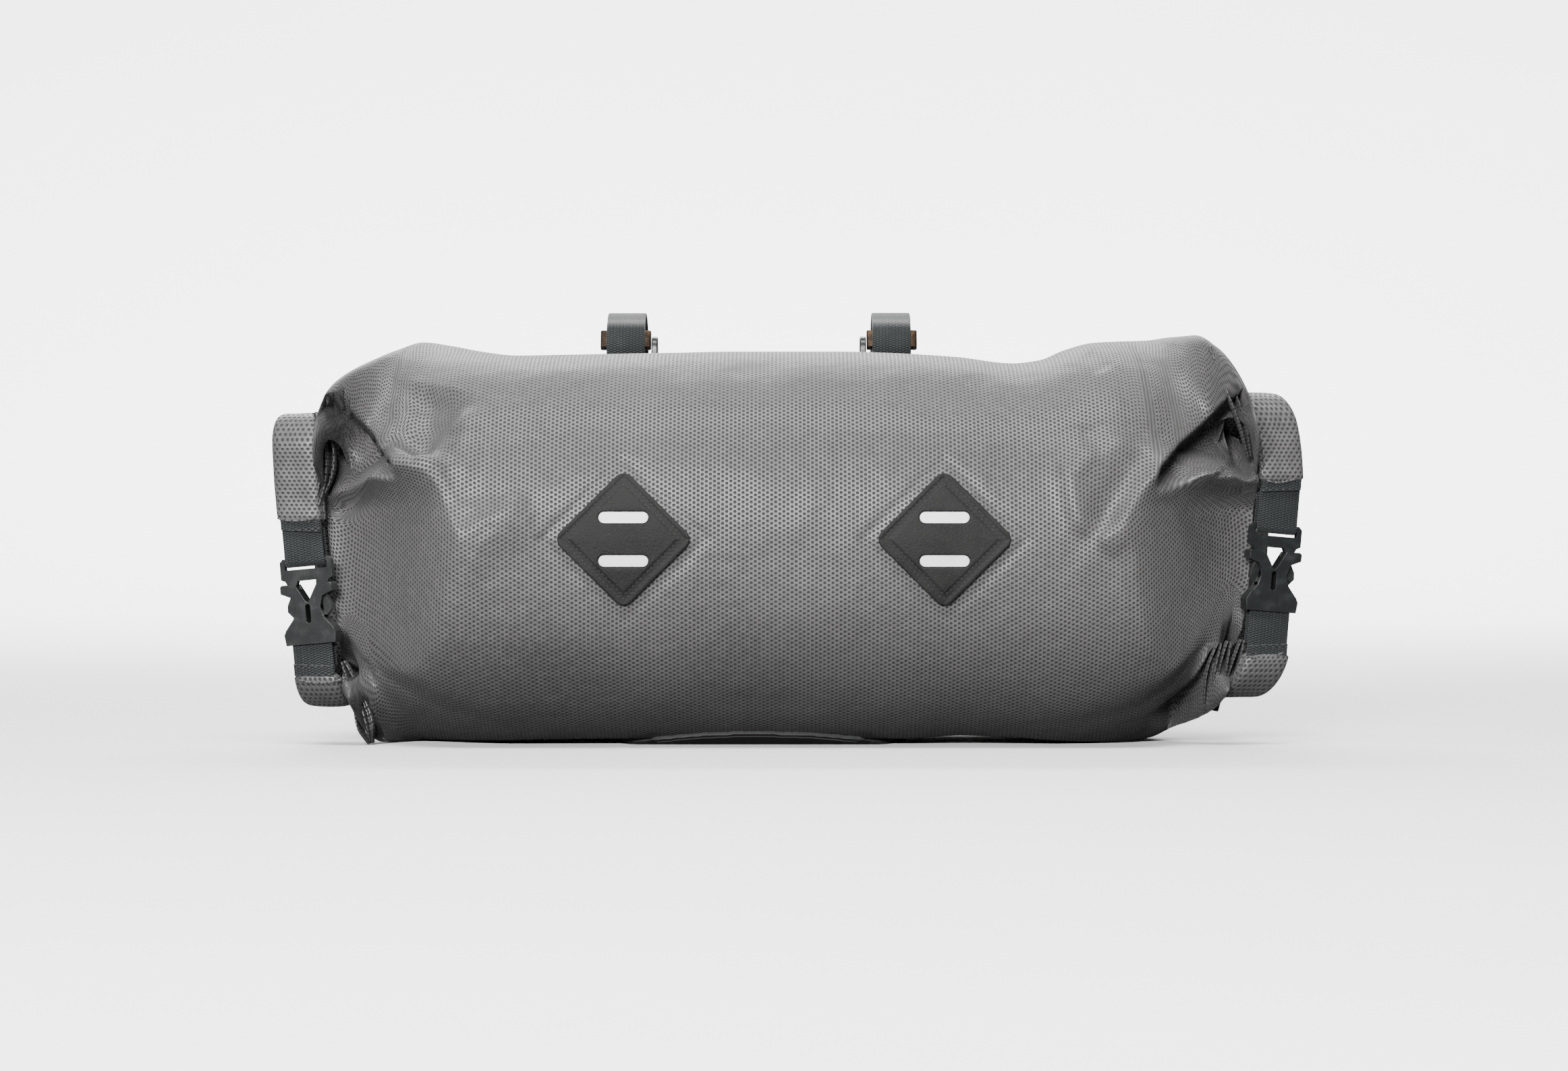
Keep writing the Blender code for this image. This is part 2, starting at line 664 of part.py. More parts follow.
def make_patch(mouth_name, leather, white, collection):
    """Diamond patch with two slots, and the reflective bar that fills each slot."""
    centre_x = MOUTHS[mouth_name]["side"] * PATCH_SPACING / 2
    reach = PATCH_SIDE / math.sqrt(2)
    diamond = rounded_polygon([(0, reach), (reach, 0), (0, -reach), (-reach, 0)], PATCH_CORNER)
    places = (BAR_SPACING / 2, -BAR_SPACING / 2)
    slots = [pill(BAR_LENGTH + 2 * GAP, BAR_WIDTH + 2 * GAP, place) for place in places]
    plate = flat_plate("patch", [diamond] + slots, PATCH_THICK, collection)
    seat = 2 * GAP
    lay_on_front(plate, centre_x, seat + PATCH_THICK / 2)
    object_from_bmesh(f"patch_{mouth_name}", plate, leather, collection)
    for label, place in zip(("upper", "lower"), places):
        thick = PATCH_THICK - BAR_SUNK
        plate = flat_plate("bar", [pill(BAR_LENGTH, BAR_WIDTH, place)], thick, collection)
        lay_on_front(plate, centre_x, seat + thick / 2)
        object_from_bmesh(f"patch_bar_{label}_{mouth_name}", plate, white, collection)


# Panel and handlebar straps on the back

def back_curve(x, offset):
    """The shell's outline from under its front up its back, moved outwards by an offset."""
    loop = shell_outline(x)
    loop = np.concatenate((loop[-AROUND_HALF // 2:], loop[:AROUND_HALF + 1]))
    steps = np.diff(loop, axis=0)
    steps /= np.linalg.norm(steps, axis=1, keepdims=True)
    faces = np.stack((steps[:, 1], -steps[:, 0]), axis=1)
    corners = faces[:-1] + faces[1:]
    corners /= np.sum(corners * faces[1:], axis=1, keepdims=True)
    points = loop[1:-1] + corners * offset
    lengths = np.concatenate(([0.0], np.cumsum(np.linalg.norm(np.diff(points, axis=0), axis=1))))
    return points, lengths


def curve_point(curve, length):
    points, lengths = curve
    return [float(np.interp(length, lengths, points[:, axis])) for axis in (0, 1)]


def panel_span(curve):
    """Where along the back curve the panel starts, under the front, and ends, below the top."""
    points, lengths = curve
    start = lengths[np.argmax(points[:, 1] < points[:, 1].min() + 1e-4)]
    end = lerp(start, lengths[np.argmax(points[:, 1])], PANEL_REACH)
    return start, lengths[np.argmin(np.abs(lengths - end))]


def corner_inset(across, half, radius):
    """How far a rounded end draws back at a distance from its middle line."""
    into = max(0.0, across - (half - radius))
    return radius - math.sqrt(max(0.0, radius ** 2 - into ** 2))


def make_panel(material, collection):
    """Stiffened panel that lies under the bag and up its back, and carries the straps."""
    half = PANEL_WIDTH / 2
    rounding = [half - PANEL_CORNER * (1 - math.sin(math.pi * k / 12)) for k in range(7)]
    stations = [x - STRAP_CENTRE for x in tube_grid()[:, 0, 0]]
    across = {round(side * place, 7) for side in (-1, 1) for place in rounding}
    across = sorted(across | {round(x, 7) for x in stations if abs(x) < half - PANEL_CORNER - GAP})
    columns = []
    for place in across:
        curve = back_curve(STRAP_CENTRE + place, GAP + PANEL_THICK / 2)
        start, end = panel_span(curve)
        first = start + corner_inset(abs(place), half, PANEL_CORNER)
        last = end - corner_inset(abs(place), half, PANEL_TOP_CORNER)
        inner = [n for n in curve[1] if start + PANEL_CORNER < n < end - PANEL_TOP_CORNER]
        lengths = [first, start + PANEL_CORNER] + inner + [last]
        columns.append([(STRAP_CENTRE + place, *curve_point(curve, n)) for n in lengths])
    rows = [list(row) for row in zip(*columns)]
    return strip_object("back_panel", rows, PANEL_THICK, 0.0, material, collection)


def strap_path(x):
    """Path of a handlebar strap: up the panel, round the handlebar, and sewn down over itself."""
    first_layer = back_curve(x, GAP + PANEL_THICK + GAP + STRAP_THICK / 2)
    second_layer = back_curve(x, GAP + PANEL_THICK + 2 * GAP + STRAP_THICK * 1.5)
    _, end = panel_span(first_layer)
    seat = end - STRAP_SEAT
    radius = HANDLEBAR_HOLE / 2 + STRAP_THICK / 2
    foot = Vector(curve_point(first_layer, seat))
    tangent = (Vector(curve_point(first_layer, seat + 0.001)) - foot).normalized()
    out = Vector((tangent.y, -tangent.x))
    centre = foot + out * radius
    shut = math.acos(1 - (STRAP_THICK + GAP) / radius)
    inner = [n for n in first_layer[1] if seat - STRAP_LEG < n < seat - GAP]
    path = [curve_point(first_layer, n) for n in [seat - STRAP_LEG] + inner]
    steps = 26
    for step in range(steps + 1):
        angle = (2 * math.pi - shut) * step / steps
        path.append(list(centre + Matrix.Rotation(angle, 2) @ (foot - centre)))
    below = seat - radius * math.sin(shut)
    second = [n for n in second_layer[1] if seat - STRAP_LEG * 0.7 < n < below - 0.004]
    path += [curve_point(second_layer, n) for n in reversed(second)]
    return path, centre, radius


def make_keeper(name, x, centre, radius, metal, plastic, collection):
    """Dark metal frame round the strap in front of the handlebar, and its rounded cheek."""
    turn = math.radians(KEEPER_TURN)
    sag = KEEPER_LENGTH ** 2 / (8 * radius)
    half_x = WEBBING_WIDTH / 2 + 2 * GAP
    half_y = (STRAP_THICK + sag) / 2 + GAP
    far_x, far_y = half_x + KEEPER_WALL, half_y + KEEPER_WALL / 2
    outer = rounded_polygon([(-far_x, far_y), (far_x, far_y), (far_x, -far_y), (-far_x, -far_y)],
                            KEEPER_WALL * 0.45, 2)
    window = [(-half_x, -half_y), (half_x, -half_y), (half_x, half_y), (-half_x, half_y)]
    plate = flat_plate("keeper", [outer, window], KEEPER_LENGTH, collection)
    item = object_from_bmesh(f"strap_keeper_{name}", plate, metal, collection)
    seat = centre + Vector((-math.cos(turn), math.sin(turn))) * (radius - sag / 2)
    place = Matrix.Translation((x, seat.x, seat.y)) @ Matrix.Rotation(math.pi / 2 - turn, 4, "X")
    item.matrix_world = place
    inboard = 1 if x < STRAP_CENTRE else -1
    dome = [(CHEEK_RADIUS * math.cos(a), CHEEK_RADIUS * math.sin(a))
            for a in [math.pi * k / 10 for k in range(11)]]
    dome = [(a, b - CHEEK_RADIUS * 0.4) for a, b in dome]
    dome += [(-CHEEK_RADIUS, -CHEEK_RADIUS), (CHEEK_RADIUS, -CHEEK_RADIUS)]
    plate = flat_plate("cheek", [dome], CHEEK_THICK, collection)
    bmesh.ops.rotate(plate, verts=plate.verts, matrix=Matrix.Rotation(math.pi / 2, 3, "Z"))
    item = object_from_bmesh(f"strap_cheek_{name}", plate, plastic, collection)
    shift = half_x + KEEPER_WALL + GAP + CHEEK_THICK / 2
    item.location = (x + inboard * shift, seat.x, seat.y - CHEEK_RADIUS * 0.3)


def make_straps(webbing, metal, plastic, collection):
    for name, side in (("left", -1), ("right", 1)):
        x = STRAP_CENTRE + side * STRAP_SPACING / 2
        path, centre, radius = strap_path(x)
        rows = [[(x - WEBBING_WIDTH / 2, y, z), (x + WEBBING_WIDTH / 2, y, z)] for y, z in path]
        strip_object(f"bar_strap_{name}", rows, STRAP_THICK, 0.0, webbing, collection)
        make_keeper(name, x, centre, radius, metal, plastic, collection)


def build():
    clear_scene()
    parts = new_collection("handlebar_bag")
    cutters = new_collection("handlebar_bag_cutters")
    fabric = finish_material("bag_fabric", (0.20, 0.195, 0.195), 0.5)
    webbing = finish_material("black_webbing", (0.02, 0.022, 0.023), 0.75)
    plastic = finish_material("black_plastic", (0.015, 0.017, 0.018), 0.35)
    leather = finish_material("black_leather", (0.02, 0.02, 0.02), 0.6)
    white = finish_material("reflective_white", (0.85, 0.86, 0.87), 0.4)
    panel = finish_material("panel_sheet", (0.018, 0.018, 0.019), 0.6)
    metal = finish_material("dark_metal", (0.10, 0.085, 0.07), 0.35, 0.9)
    make_shell(fabric, parts)
    for mouth_name in MOUTHS:
        make_closure(mouth_name, fabric, webbing, plastic, parts, cutters)
        make_patch(mouth_name, leather, white, parts)
    make_panel(panel, parts)
    make_straps(webbing, metal, plastic, parts)


build()
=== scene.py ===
"""Looks of a double-ended handlebar bag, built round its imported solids.

Metres, +Z up, +X along the bag, front towards -Y. The bag lies on a pale floor at height 0.
"""

import math

import bmesh
import bpy
import numpy as np
from mathutils import Matrix, Vector


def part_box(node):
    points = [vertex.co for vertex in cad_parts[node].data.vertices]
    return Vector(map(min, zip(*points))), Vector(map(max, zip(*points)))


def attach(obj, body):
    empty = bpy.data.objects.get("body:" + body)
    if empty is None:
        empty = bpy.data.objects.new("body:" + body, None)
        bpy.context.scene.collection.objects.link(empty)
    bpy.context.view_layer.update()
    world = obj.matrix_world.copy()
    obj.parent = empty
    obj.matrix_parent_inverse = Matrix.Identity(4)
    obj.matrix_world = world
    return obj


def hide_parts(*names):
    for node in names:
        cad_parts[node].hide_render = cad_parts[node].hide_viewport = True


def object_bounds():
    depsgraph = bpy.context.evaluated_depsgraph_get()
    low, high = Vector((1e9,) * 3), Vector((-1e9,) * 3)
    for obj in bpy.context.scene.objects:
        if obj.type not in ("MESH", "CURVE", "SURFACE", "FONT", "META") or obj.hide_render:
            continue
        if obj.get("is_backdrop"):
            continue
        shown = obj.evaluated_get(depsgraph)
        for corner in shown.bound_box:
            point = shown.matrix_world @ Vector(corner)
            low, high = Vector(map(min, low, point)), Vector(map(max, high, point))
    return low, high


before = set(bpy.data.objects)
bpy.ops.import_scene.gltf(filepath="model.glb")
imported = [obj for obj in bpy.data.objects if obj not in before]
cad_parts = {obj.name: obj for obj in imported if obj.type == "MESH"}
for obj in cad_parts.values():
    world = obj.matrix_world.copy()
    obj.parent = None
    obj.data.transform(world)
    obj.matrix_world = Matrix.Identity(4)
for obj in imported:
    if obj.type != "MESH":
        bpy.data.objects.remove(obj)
cad_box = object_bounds()

# Studio
# A pale round floor that curves up into a wall, seen level from the front by a camera at half
# the bag's height. A soft lamp stands behind the camera, another lights the bag's top from behind.

CAMERA_DISTANCE = 1.6
CAMERA_HEIGHT = 0.097
VIEW_WIDTH = 0.7437
SENSOR_WIDTH = 36.0
PHOTO_SIZE = (2324, 1587)
FLOOR_RADIUS = 3.2
WALL_CURVE = 1.0
WALL_TOP = 3.0
FLOOR_SEGMENTS = 96
FLOOR_FLAT = 0.9
WALL_STEPS = 16
FLOOR_PALE = (0.90, 0.90, 0.90)
FLOOR_PALER = (0.93, 0.93, 0.93)
FLOOR_BOUNCE = (0.12, 0.12, 0.12)
AMBIENT_TINT = (0.93, 0.95, 1.0)
AMBIENT_STRENGTH = 0.12
# Lamps: name, place, what it is aimed at, width and height, watts, and spread in degrees
LAMPS = (
    ("front_lamp", (-0.45, -2.3, 0.85), (0, 0, 0.09), (0.9, 0.5), 126, 180),
    ("rim_lamp", (-0.30, 1.55, 1.20), (0, 0, 0.1), (1.6, 0.5), 22, 180),
    ("wall_lamp", (0, 2.3, 2.8), (0, 3.4, 0.3), (4.0, 0.8), 480, 150),
    ("floor_lamp", (0, -1.0, 2.6), (0, -0.9, 0), (2.4, 0.8), 36, 70),
)


def photo_place(points):
    """Where points in space fall in the front view, in pixels of its full size."""
    depth = points[..., 1] + CAMERA_DISTANCE
    scale = PHOTO_SIZE[0] / VIEW_WIDTH * CAMERA_DISTANCE / depth
    return np.stack((PHOTO_SIZE[0] / 2 + points[..., 0] * scale,
                     PHOTO_SIZE[1] / 2 - (points[..., 2] - CAMERA_HEIGHT) * scale), axis=-1)


class Flow:
    """A value on its way through a material's nodes."""

    def __init__(self, finish, socket):
        self.finish, self.socket = finish, socket

    def math(self, operation, *values):
        return self.finish.node("ShaderNodeMath", {"operation": operation}, dict(enumerate(values)))

    def __abs__(self):
        return self.math("ABSOLUTE", self)

    def cycle(self):
        """The part after the point: a saw from 0 to 1."""
        return self.math("FRACT", self)

    def sine(self):
        return self.math("SINE", self)

    def least(self, other):
        return self.math("MINIMUM", self, other)

    def steps(self, low, high):
        """Smooth rise from 0 to 1 as the value goes from low to high."""
        return self.finish.node("ShaderNodeMapRange", {"interpolation_type": "SMOOTHSTEP"},
                                {"Value": self, "From Min": low, "From Max": high})


def operator(operation, swapped):
    """A Flow method for a sign between two values, or for one whose left side is a plain number."""
    if swapped:
        return lambda self, other: self.math(operation, other, self)
    return lambda self, other: self.math(operation, self, other)


for sign, operation in (("add", "ADD"), ("sub", "SUBTRACT"), ("mul", "MULTIPLY"),
                        ("truediv", "DIVIDE"), ("pow", "POWER")):
    setattr(Flow, f"__{sign}__", operator(operation, False))
    setattr(Flow, f"__r{sign}__", operator(operation, True))


class Finish:
    """A material: its shader's own constants, and the nodes that vary it over the surface."""

    def __init__(self, name, **constants):
        self.material = bpy.data.materials.new(name)
        self.material.use_nodes = True
        self.tree = self.material.node_tree
        self.shader = self.tree.nodes["Principled BSDF"]
        for socket, value in constants.items():
            self.shader.inputs[socket.replace("_", " ")].default_value = value

    def node(self, kind, settings=None, sockets=None, out=0):
        """Adds a node, with its settings first and then its sockets' values or links."""
        made = self.tree.nodes.new(kind)
        for name, value in (settings or {}).items():
            setattr(made, name, value)
        for name, value in (sockets or {}).items():
            if isinstance(value, Flow):
                self.tree.links.new(value.socket, made.inputs[name])
            else:
                made.inputs[name].default_value = value
        return Flow(self, made.outputs[out])

    def place(self, kind="Object"):
        return self.node("ShaderNodeTexCoord", out=kind)

    def split(self, vector):
        sides = self.node("ShaderNodeSeparateXYZ", {}, {0: vector})
        return [Flow(self, socket) for socket in sides.socket.node.outputs]

    def cloud(self, size, detail=3.0, roughness=0.55, vector=None):
        """Soft noise with lumps of about a size in metres."""
        return self.node("ShaderNodeTexNoise", {},
                         {"Vector": vector or self.place(), "Scale": 1 / size, "Detail": detail,
                          "Roughness": roughness})

    def mix(self, mask, first, second):
        """Colour that goes from first to second as the mask goes from 0 to 1."""
        return self.node("ShaderNodeMix", {"data_type": "RGBA"},
                         {0: mask, 6: colour(first), 7: colour(second)}, out=2)

    def bump(self, height, depth, under=None):
        """Relief of a depth in metres from a height between 0 and 1."""
        sockets = {"Height": height, "Distance": depth, "Strength": 1.0}
        if under:
            sockets["Normal"] = under
        return self.node("ShaderNodeBump", {}, sockets)

    def feed(self, **sockets):
        for name, value in sockets.items():
            self.tree.links.new(value.socket, self.shader.inputs[name.replace("_", " ")])
        return self.material


def colour(value):
    return value if isinstance(value, Flow) else (*value, 1.0)


def placed(name, data):
    """A new object of some data, linked to the scene."""
    item = bpy.data.objects.new(name, data)
    bpy.context.collection.objects.link(item)
    return item


def studio_camera():
    data = bpy.data.cameras.new("camera")
    data.sensor_width = SENSOR_WIDTH
    data.lens = SENSOR_WIDTH * CAMERA_DISTANCE / VIEW_WIDTH
    data.clip_start = 0.05
    camera = placed("camera", data)
    camera.location = (0, -CAMERA_DISTANCE, CAMERA_HEIGHT)
    camera.rotation_euler = (math.pi / 2, 0, 0)
    bpy.context.scene.camera = camera


def studio_lamp(name, place, aim, size, power, spread):
    data = bpy.data.lights.new(name, "AREA")
    data.shape = "RECTANGLE"
    data.size, data.size_y = size
    data.energy = power
    data.spread = math.radians(spread)
    lamp = placed(name, data)
    lamp.location = place
    lamp.rotation_euler = (Vector(aim) - Vector(place)).to_track_quat("-Z", "Y").to_euler()


def mesh_object(name, verts, faces, material=None, uvs=None):
    """A smooth-shaded mesh. uvs holds one pair for each corner of each face, in metres."""
    mesh = bpy.data.meshes.new(name)
    mesh.from_pydata([tuple(v) for v in verts], [], [tuple(f) for f in faces])
    if uvs is not None:
        layer = mesh.uv_layers.new(name="UVMap")
        layer.data.foreach_set("uv", np.asarray(uvs, dtype=np.float32).ravel())
    mesh.shade_smooth()
    mesh.update()
    if material:
        mesh.materials.append(material)
    return placed(name, mesh)


studio_camera()
for lamp in LAMPS:
    studio_lamp(*lamp)
world = bpy.data.worlds.new("studio")
world.use_nodes = True
ambient = world.node_tree.nodes["Background"].inputs
ambient["Color"].default_value = colour(AMBIENT_TINT)
ambient["Strength"].default_value = AMBIENT_STRENGTH
bpy.context.scene.world = world

bend = [(FLOOR_RADIUS + WALL_CURVE * math.sin(a), WALL_CURVE * (1 - math.cos(a)))
        for a in [math.pi / 2 * k / WALL_STEPS for k in range(WALL_STEPS + 1)]]
profile = [(FLOOR_RADIUS * FLOOR_FLAT, 0.0)] + bend + [(FLOOR_RADIUS + WALL_CURVE, WALL_TOP)]
floor_verts = [(r * math.cos(a), r * math.sin(a), z) for r, z in profile
               for a in [2 * math.pi * k / FLOOR_SEGMENTS for k in range(FLOOR_SEGMENTS)]]
floor_faces = [tuple(range(FLOOR_SEGMENTS))]
for row in range(len(profile) - 1):
    for k in range(FLOOR_SEGMENTS):
        a, b = row * FLOOR_SEGMENTS + k, row * FLOOR_SEGMENTS + (k + 1) % FLOOR_SEGMENTS
        floor_faces.append((a, a + FLOOR_SEGMENTS, b + FLOOR_SEGMENTS, b))
floor_finish = Finish("pale_floor", Roughness=0.8)
haze = floor_finish.cloud(0.5)
pale = floor_finish.mix(haze, FLOOR_PALE, FLOOR_PALER)
seen = floor_finish.node("ShaderNodeLightPath")
floor_finish.feed(Base_Color=floor_finish.mix(seen, FLOOR_BOUNCE, pale))
mesh_object("pale_floor", floor_verts, floor_faces, floor_finish.material)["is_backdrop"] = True

# Bag body
# A tube of coated polyester, welded along one seam, stuffed full and flattened at both ends.
# Its ends are bent forward into a C, so the cloth folds into a hood at each upper corner and
# an ear at each lower one. The weave shows as rows of small dark pits in the coating.

BAG_HEIGHT = 0.184
BAG_DEPTH = 0.166
ROUNDNESS = 2.25
BASE_PRESS = 0.0055
PANEL_LIFT = 0.0027
ROLL_WIDTH = 0.0218
ROLL_THICK = 0.0092
ROLL_CORNER = 0.0105
RING_DEPTH = 0.045
RING_FRONT = -0.040
RING_SWING = math.radians(11)
SLIT_HALF = 0.0021
MOUTH_SEAM = 0.0007
MOUTHS = {
    "left": dict(side=-1, reach=0.2210, low=0.096, high=0.837, lean=0.0061, bow=0.0006,
                 upper_tip=0.561, lower_tip=0.180, drop=0.0165),
    "right": dict(side=1, reach=0.2276, low=0.117, high=0.888, lean=0.0041, bow=0.0100,
                  upper_tip=0.662, lower_tip=0.231, drop=0.0200),
}
# Sections from the middle to a mouth: how far along, how flat, how far curled into the C and
# turned with it, the heights of top and bottom as shares of the bag's, and the seat on the panel
SECTION_COLUMNS = ("along", "flat", "curl", "turn", "top", "rise", "seat")
SECTIONS = {
    "left": (
        (0, 0, 0, 0, 1, 0, 1),
        (0.12, 0, 0, 0, 1, 0, 1),
        (0.25, 0, 0, 0, 0.997, 0, 1),
        (0.4, 0, 0, 0, 0.994, 0, 1),
        (0.5, 0, 0, 0, 0.992, 0, 0.9),
        (0.6, 0.02, 0, 0.08, 0.99, 0, 0.7),
        (0.69, 0.06, 0.03, 0.22, 1.002, 0, 0.5),
        (0.77, 0.12, 0.08, 0.38, 1.018, 0.001, 0.3),
        (0.83, 0.21, 0.15, 0.53, 1.026, 0.002, 0.1),
        (0.88, 0.33, 0.26, 0.68, 1.002, 0.002, 0),
        (0.92, 0.48, 0.42, 0.81, 0.966, 0.004, 0),
        (0.95, 0.66, 0.62, 0.9, 0.928, 0.04, 0),
        (0.972, 0.84, 0.82, 0.96, 0.892, 0.08, 0),
        (0.987, 0.96, 0.95, 0.99, 0.86, 0.093, 0),
        (1, 1, 1, 1, None, None, 0),
    ),
    "right": (
        (0, 0, 0, 0, 1, 0, 1),
        (0.12, 0, 0, 0, 1, 0, 1),
        (0.26, 0, 0, 0, 0.995, 0, 1),
        (0.38, 0, 0, 0, 0.986, 0.008, 1),
        (0.5, 0, 0, 0, 0.97, 0.002, 1),
        (0.56, 0.01, 0, 0.03, 0.978, 0.001, 0.7),
        (0.62, 0.03, 0.01, 0.1, 1.005, 0.001, 0.4),
        (0.69, 0.06, 0.03, 0.22, 1.025, 0.001, 0.2),
        (0.77, 0.12, 0.08, 0.38, 1.03, 0.002, 0),
        (0.83, 0.21, 0.15, 0.53, 1.031, 0.008, 0),
        (0.88, 0.32, 0.25, 0.68, 1.036, 0.033, 0),
        (0.92, 0.46, 0.41, 0.81, 1.036, 0.06, 0),
        (0.948, 0.62, 0.59, 0.9, 1.005, 0.09, 0),
        (0.97, 0.82, 0.8, 0.95, 0.945, 0.113, 0),
        (0.986, 0.96, 0.95, 0.99, 0.9, 0.119, 0),
        (1, 1, 1, 1, None, None, 0),
    ),
}
CLOTH_ROWS = 150
CLOTH_FRONT = 210
CLOTH_BACK = 110
PATH_STEPS = 400
# The front of each end stays full between two shares of the way round it, and overhangs there
# where it is deep enough and flat enough
END_BULGE = 4.2
END_OVERHANG = 0.008
FULL_SPAN = (0.07, 0.20, 0.64, 0.80)
OVERHANG_DEPTH = (0.004, 0.022)
OVERHANG_FLAT = (0.45, 0.92)
# Behind the buckles the cloth keeps back: how far, along which stretch and between what heights
CLOSURE_BACK = -0.030
CLOSURE_FREE = -0.090
CLOSURE_BESIDE = (-0.085, -0.012)
CLOSURE_SPAN = (0.012, 0.036, 0.108, 0.142)
CLOSURE_EASE = 0.004
CREASE_FADE = (0, 0.25, 0.75, 1)
CREASE_LEAST = 0.15
HOLLOW_FADE = (0, 0.18, 0.72, 1)
FACING = (0.0, 0.5)

# Creases seen from the front, in pixels of the full front view: the line, how far the cloth
# stands out along it in mm, and how far it spreads above and below the line in pixels
CREASES = (
    # left shoulder: hollow under the hood, with its V and the ridges beside it
    (((640, 560), (628, 640), (618, 688)), -8.0, 44, 40),
    (((540, 610), (580, 662), (612, 694), (648, 658), (690, 622), (736, 604)), 4.2, 14, 44),
    (((584, 712), (632, 758), (686, 796), (738, 766), (800, 728)), 3.4, 18, 46),
    (((664, 650), (670, 705), (682, 765)), -1.3, 20, 20),
    (((722, 632), (712, 695), (700, 760)), -1.5, 24, 24),
    # left end, below the hood and above the ear
    (((500, 720), (535, 700), (572, 716)), 1.8, 14, 22),
    (((503, 925), (530, 948), (552, 985)), 2.0, 8, 16),
    (((505, 990), (560, 1000), (600, 1030), (640, 1062)), 1.8, 14, 20),
    (((530, 1040), (560, 1060), (590, 1090)), -2.4, 10, 14),
    # right shoulder
    (((1740, 680), (1704, 738), (1668, 776), (1618, 820)), 4.4, 24, 16),
    (((1716, 640), (1674, 700), (1648, 745), (1620, 802)), -3.4, 26, 26),
    (((1640, 660), (1584, 700), (1596, 752), (1620, 806)), 2.4, 20, 18),
    (((1612, 515), (1628, 530), (1640, 552)), -1.5, 12, 14),
    (((1596, 640), (1622, 648), (1648, 668)), -1.2, 12, 16),
    (((1822, 690), (1790, 735), (1762, 790), (1745, 850)), 2.4, 12, 26),
    (((1800, 735), (1770, 800), (1748, 880)), -1.6, 22, 22),
    # right end, above the gathered lower corner
    (((1840, 920), (1800, 975), (1752, 1010), (1700, 1040)), 2.0, 12, 24),
    (((1795, 960), (1760, 1030), (1718, 1068)), -2.2, 12, 14),
    # long slack creases of the middle
    (((960, 560), (1010, 548), (1100, 545), (1190, 552)), -1.2, 26, 30),
    (((1310, 560), (1400, 585), (1500, 560)), -1.2, 30, 34),
    (((760, 980), (850, 1020), (960, 1035)), -0.9, 26, 26),
    (((1000, 1035), (1120, 1046), (1260, 1040)), -1.0, 22, 22),
)


# Hollows behind a fold: the fold's line, how deep the cloth falls away beside it in mm, how far
# the hollow reaches in pixels, and how wide the fold's own turn is
HOLLOWS = (
    (((446, 604), (478, 586), (504, 588), (528, 618), (560, 650), (581, 684), (592, 718),
      (593, 748)), 24.0, 66, 9),
    (((1872, 600), (1842, 582), (1819, 590), (1783, 626), (1746, 659), (1721, 690), (1708, 725),
      (1707, 760)), -24.0, 74, 9),
    (((1850, 668), (1834, 674), (1799, 706), (1778, 740), (1758, 788), (1742, 846)), -8.0, 46, 8),
    (((1812, 912), (1800, 958), (1770, 1002), (1735, 1036), (1690, 1062)), -11.0, 46, 8),
    (((500, 925), (530, 945), (556, 985), (572, 1010)), 5.0, 40, 10),
    (((548, 1030), (556, 1062), (572, 1092), (580, 1112)), 12.0, 36, 7),
)


def cubic(t, width, first, last, first_slope, last_slope):
    """Value, at a share of a stretch's width, of the cubic with these ends and slopes."""
    return ((2 * t ** 3 - 3 * t ** 2 + 1) * first + (t ** 3 - 2 * t ** 2 + t) * width * first_slope
            + (3 * t ** 2 - 2 * t ** 3) * last + (t ** 3 - t ** 2) * width * last_slope)


def smooth_between(places, values, place):
    """Cubic between rows, with slopes that never overshoot them."""
    places, values = np.asarray(places, float), np.asarray(values, float)
    steps = np.diff(values) / np.diff(places)
    slopes = np.zeros(len(values))
    slopes[-1] = steps[-1]
    for i in range(1, len(values) - 1):
        if steps[i - 1] * steps[i] > 0:
            slopes[i] = 2 / (1 / steps[i - 1] + 1 / steps[i])
    index = np.clip(np.searchsorted(places, place, side="right") - 1, 0, len(places) - 2)
    width = places[index + 1] - places[index]
    t = (place - places[index]) / width
    return cubic(t, width, values[index], values[index + 1], slopes[index], slopes[index + 1])


def smooth_step(low, high, value):
    t = np.clip((value - low) / (high - low), 0, 1)
    return t * t * (3 - 2 * t)


def smooth_span(span, value):
    """Smooth rise from 0 to 1 and fall back to 0, between the four values of a span."""
    return smooth_step(span[0], span[1], value) * (1 - smooth_step(span[2], span[3], value))


def run_lengths(points):
    """How far along a line of points each of them is."""
    return np.concatenate(([0.0], np.cumsum(np.linalg.norm(np.diff(points, axis=0), axis=1))))


def mouth_x(mouth, height):
    """Distance from the bag's centre to the middle of the band, at a height."""
    middle = (mouth["low"] + mouth["high"]) / 2 * BAG_HEIGHT
    half = (mouth["high"] - mouth["low"]) / 2 * BAG_HEIGHT
    share = np.clip((height - middle) / half, -1.1, 1.1)
    return mouth["reach"] + mouth["lean"] * share - mouth["bow"] * share ** 4


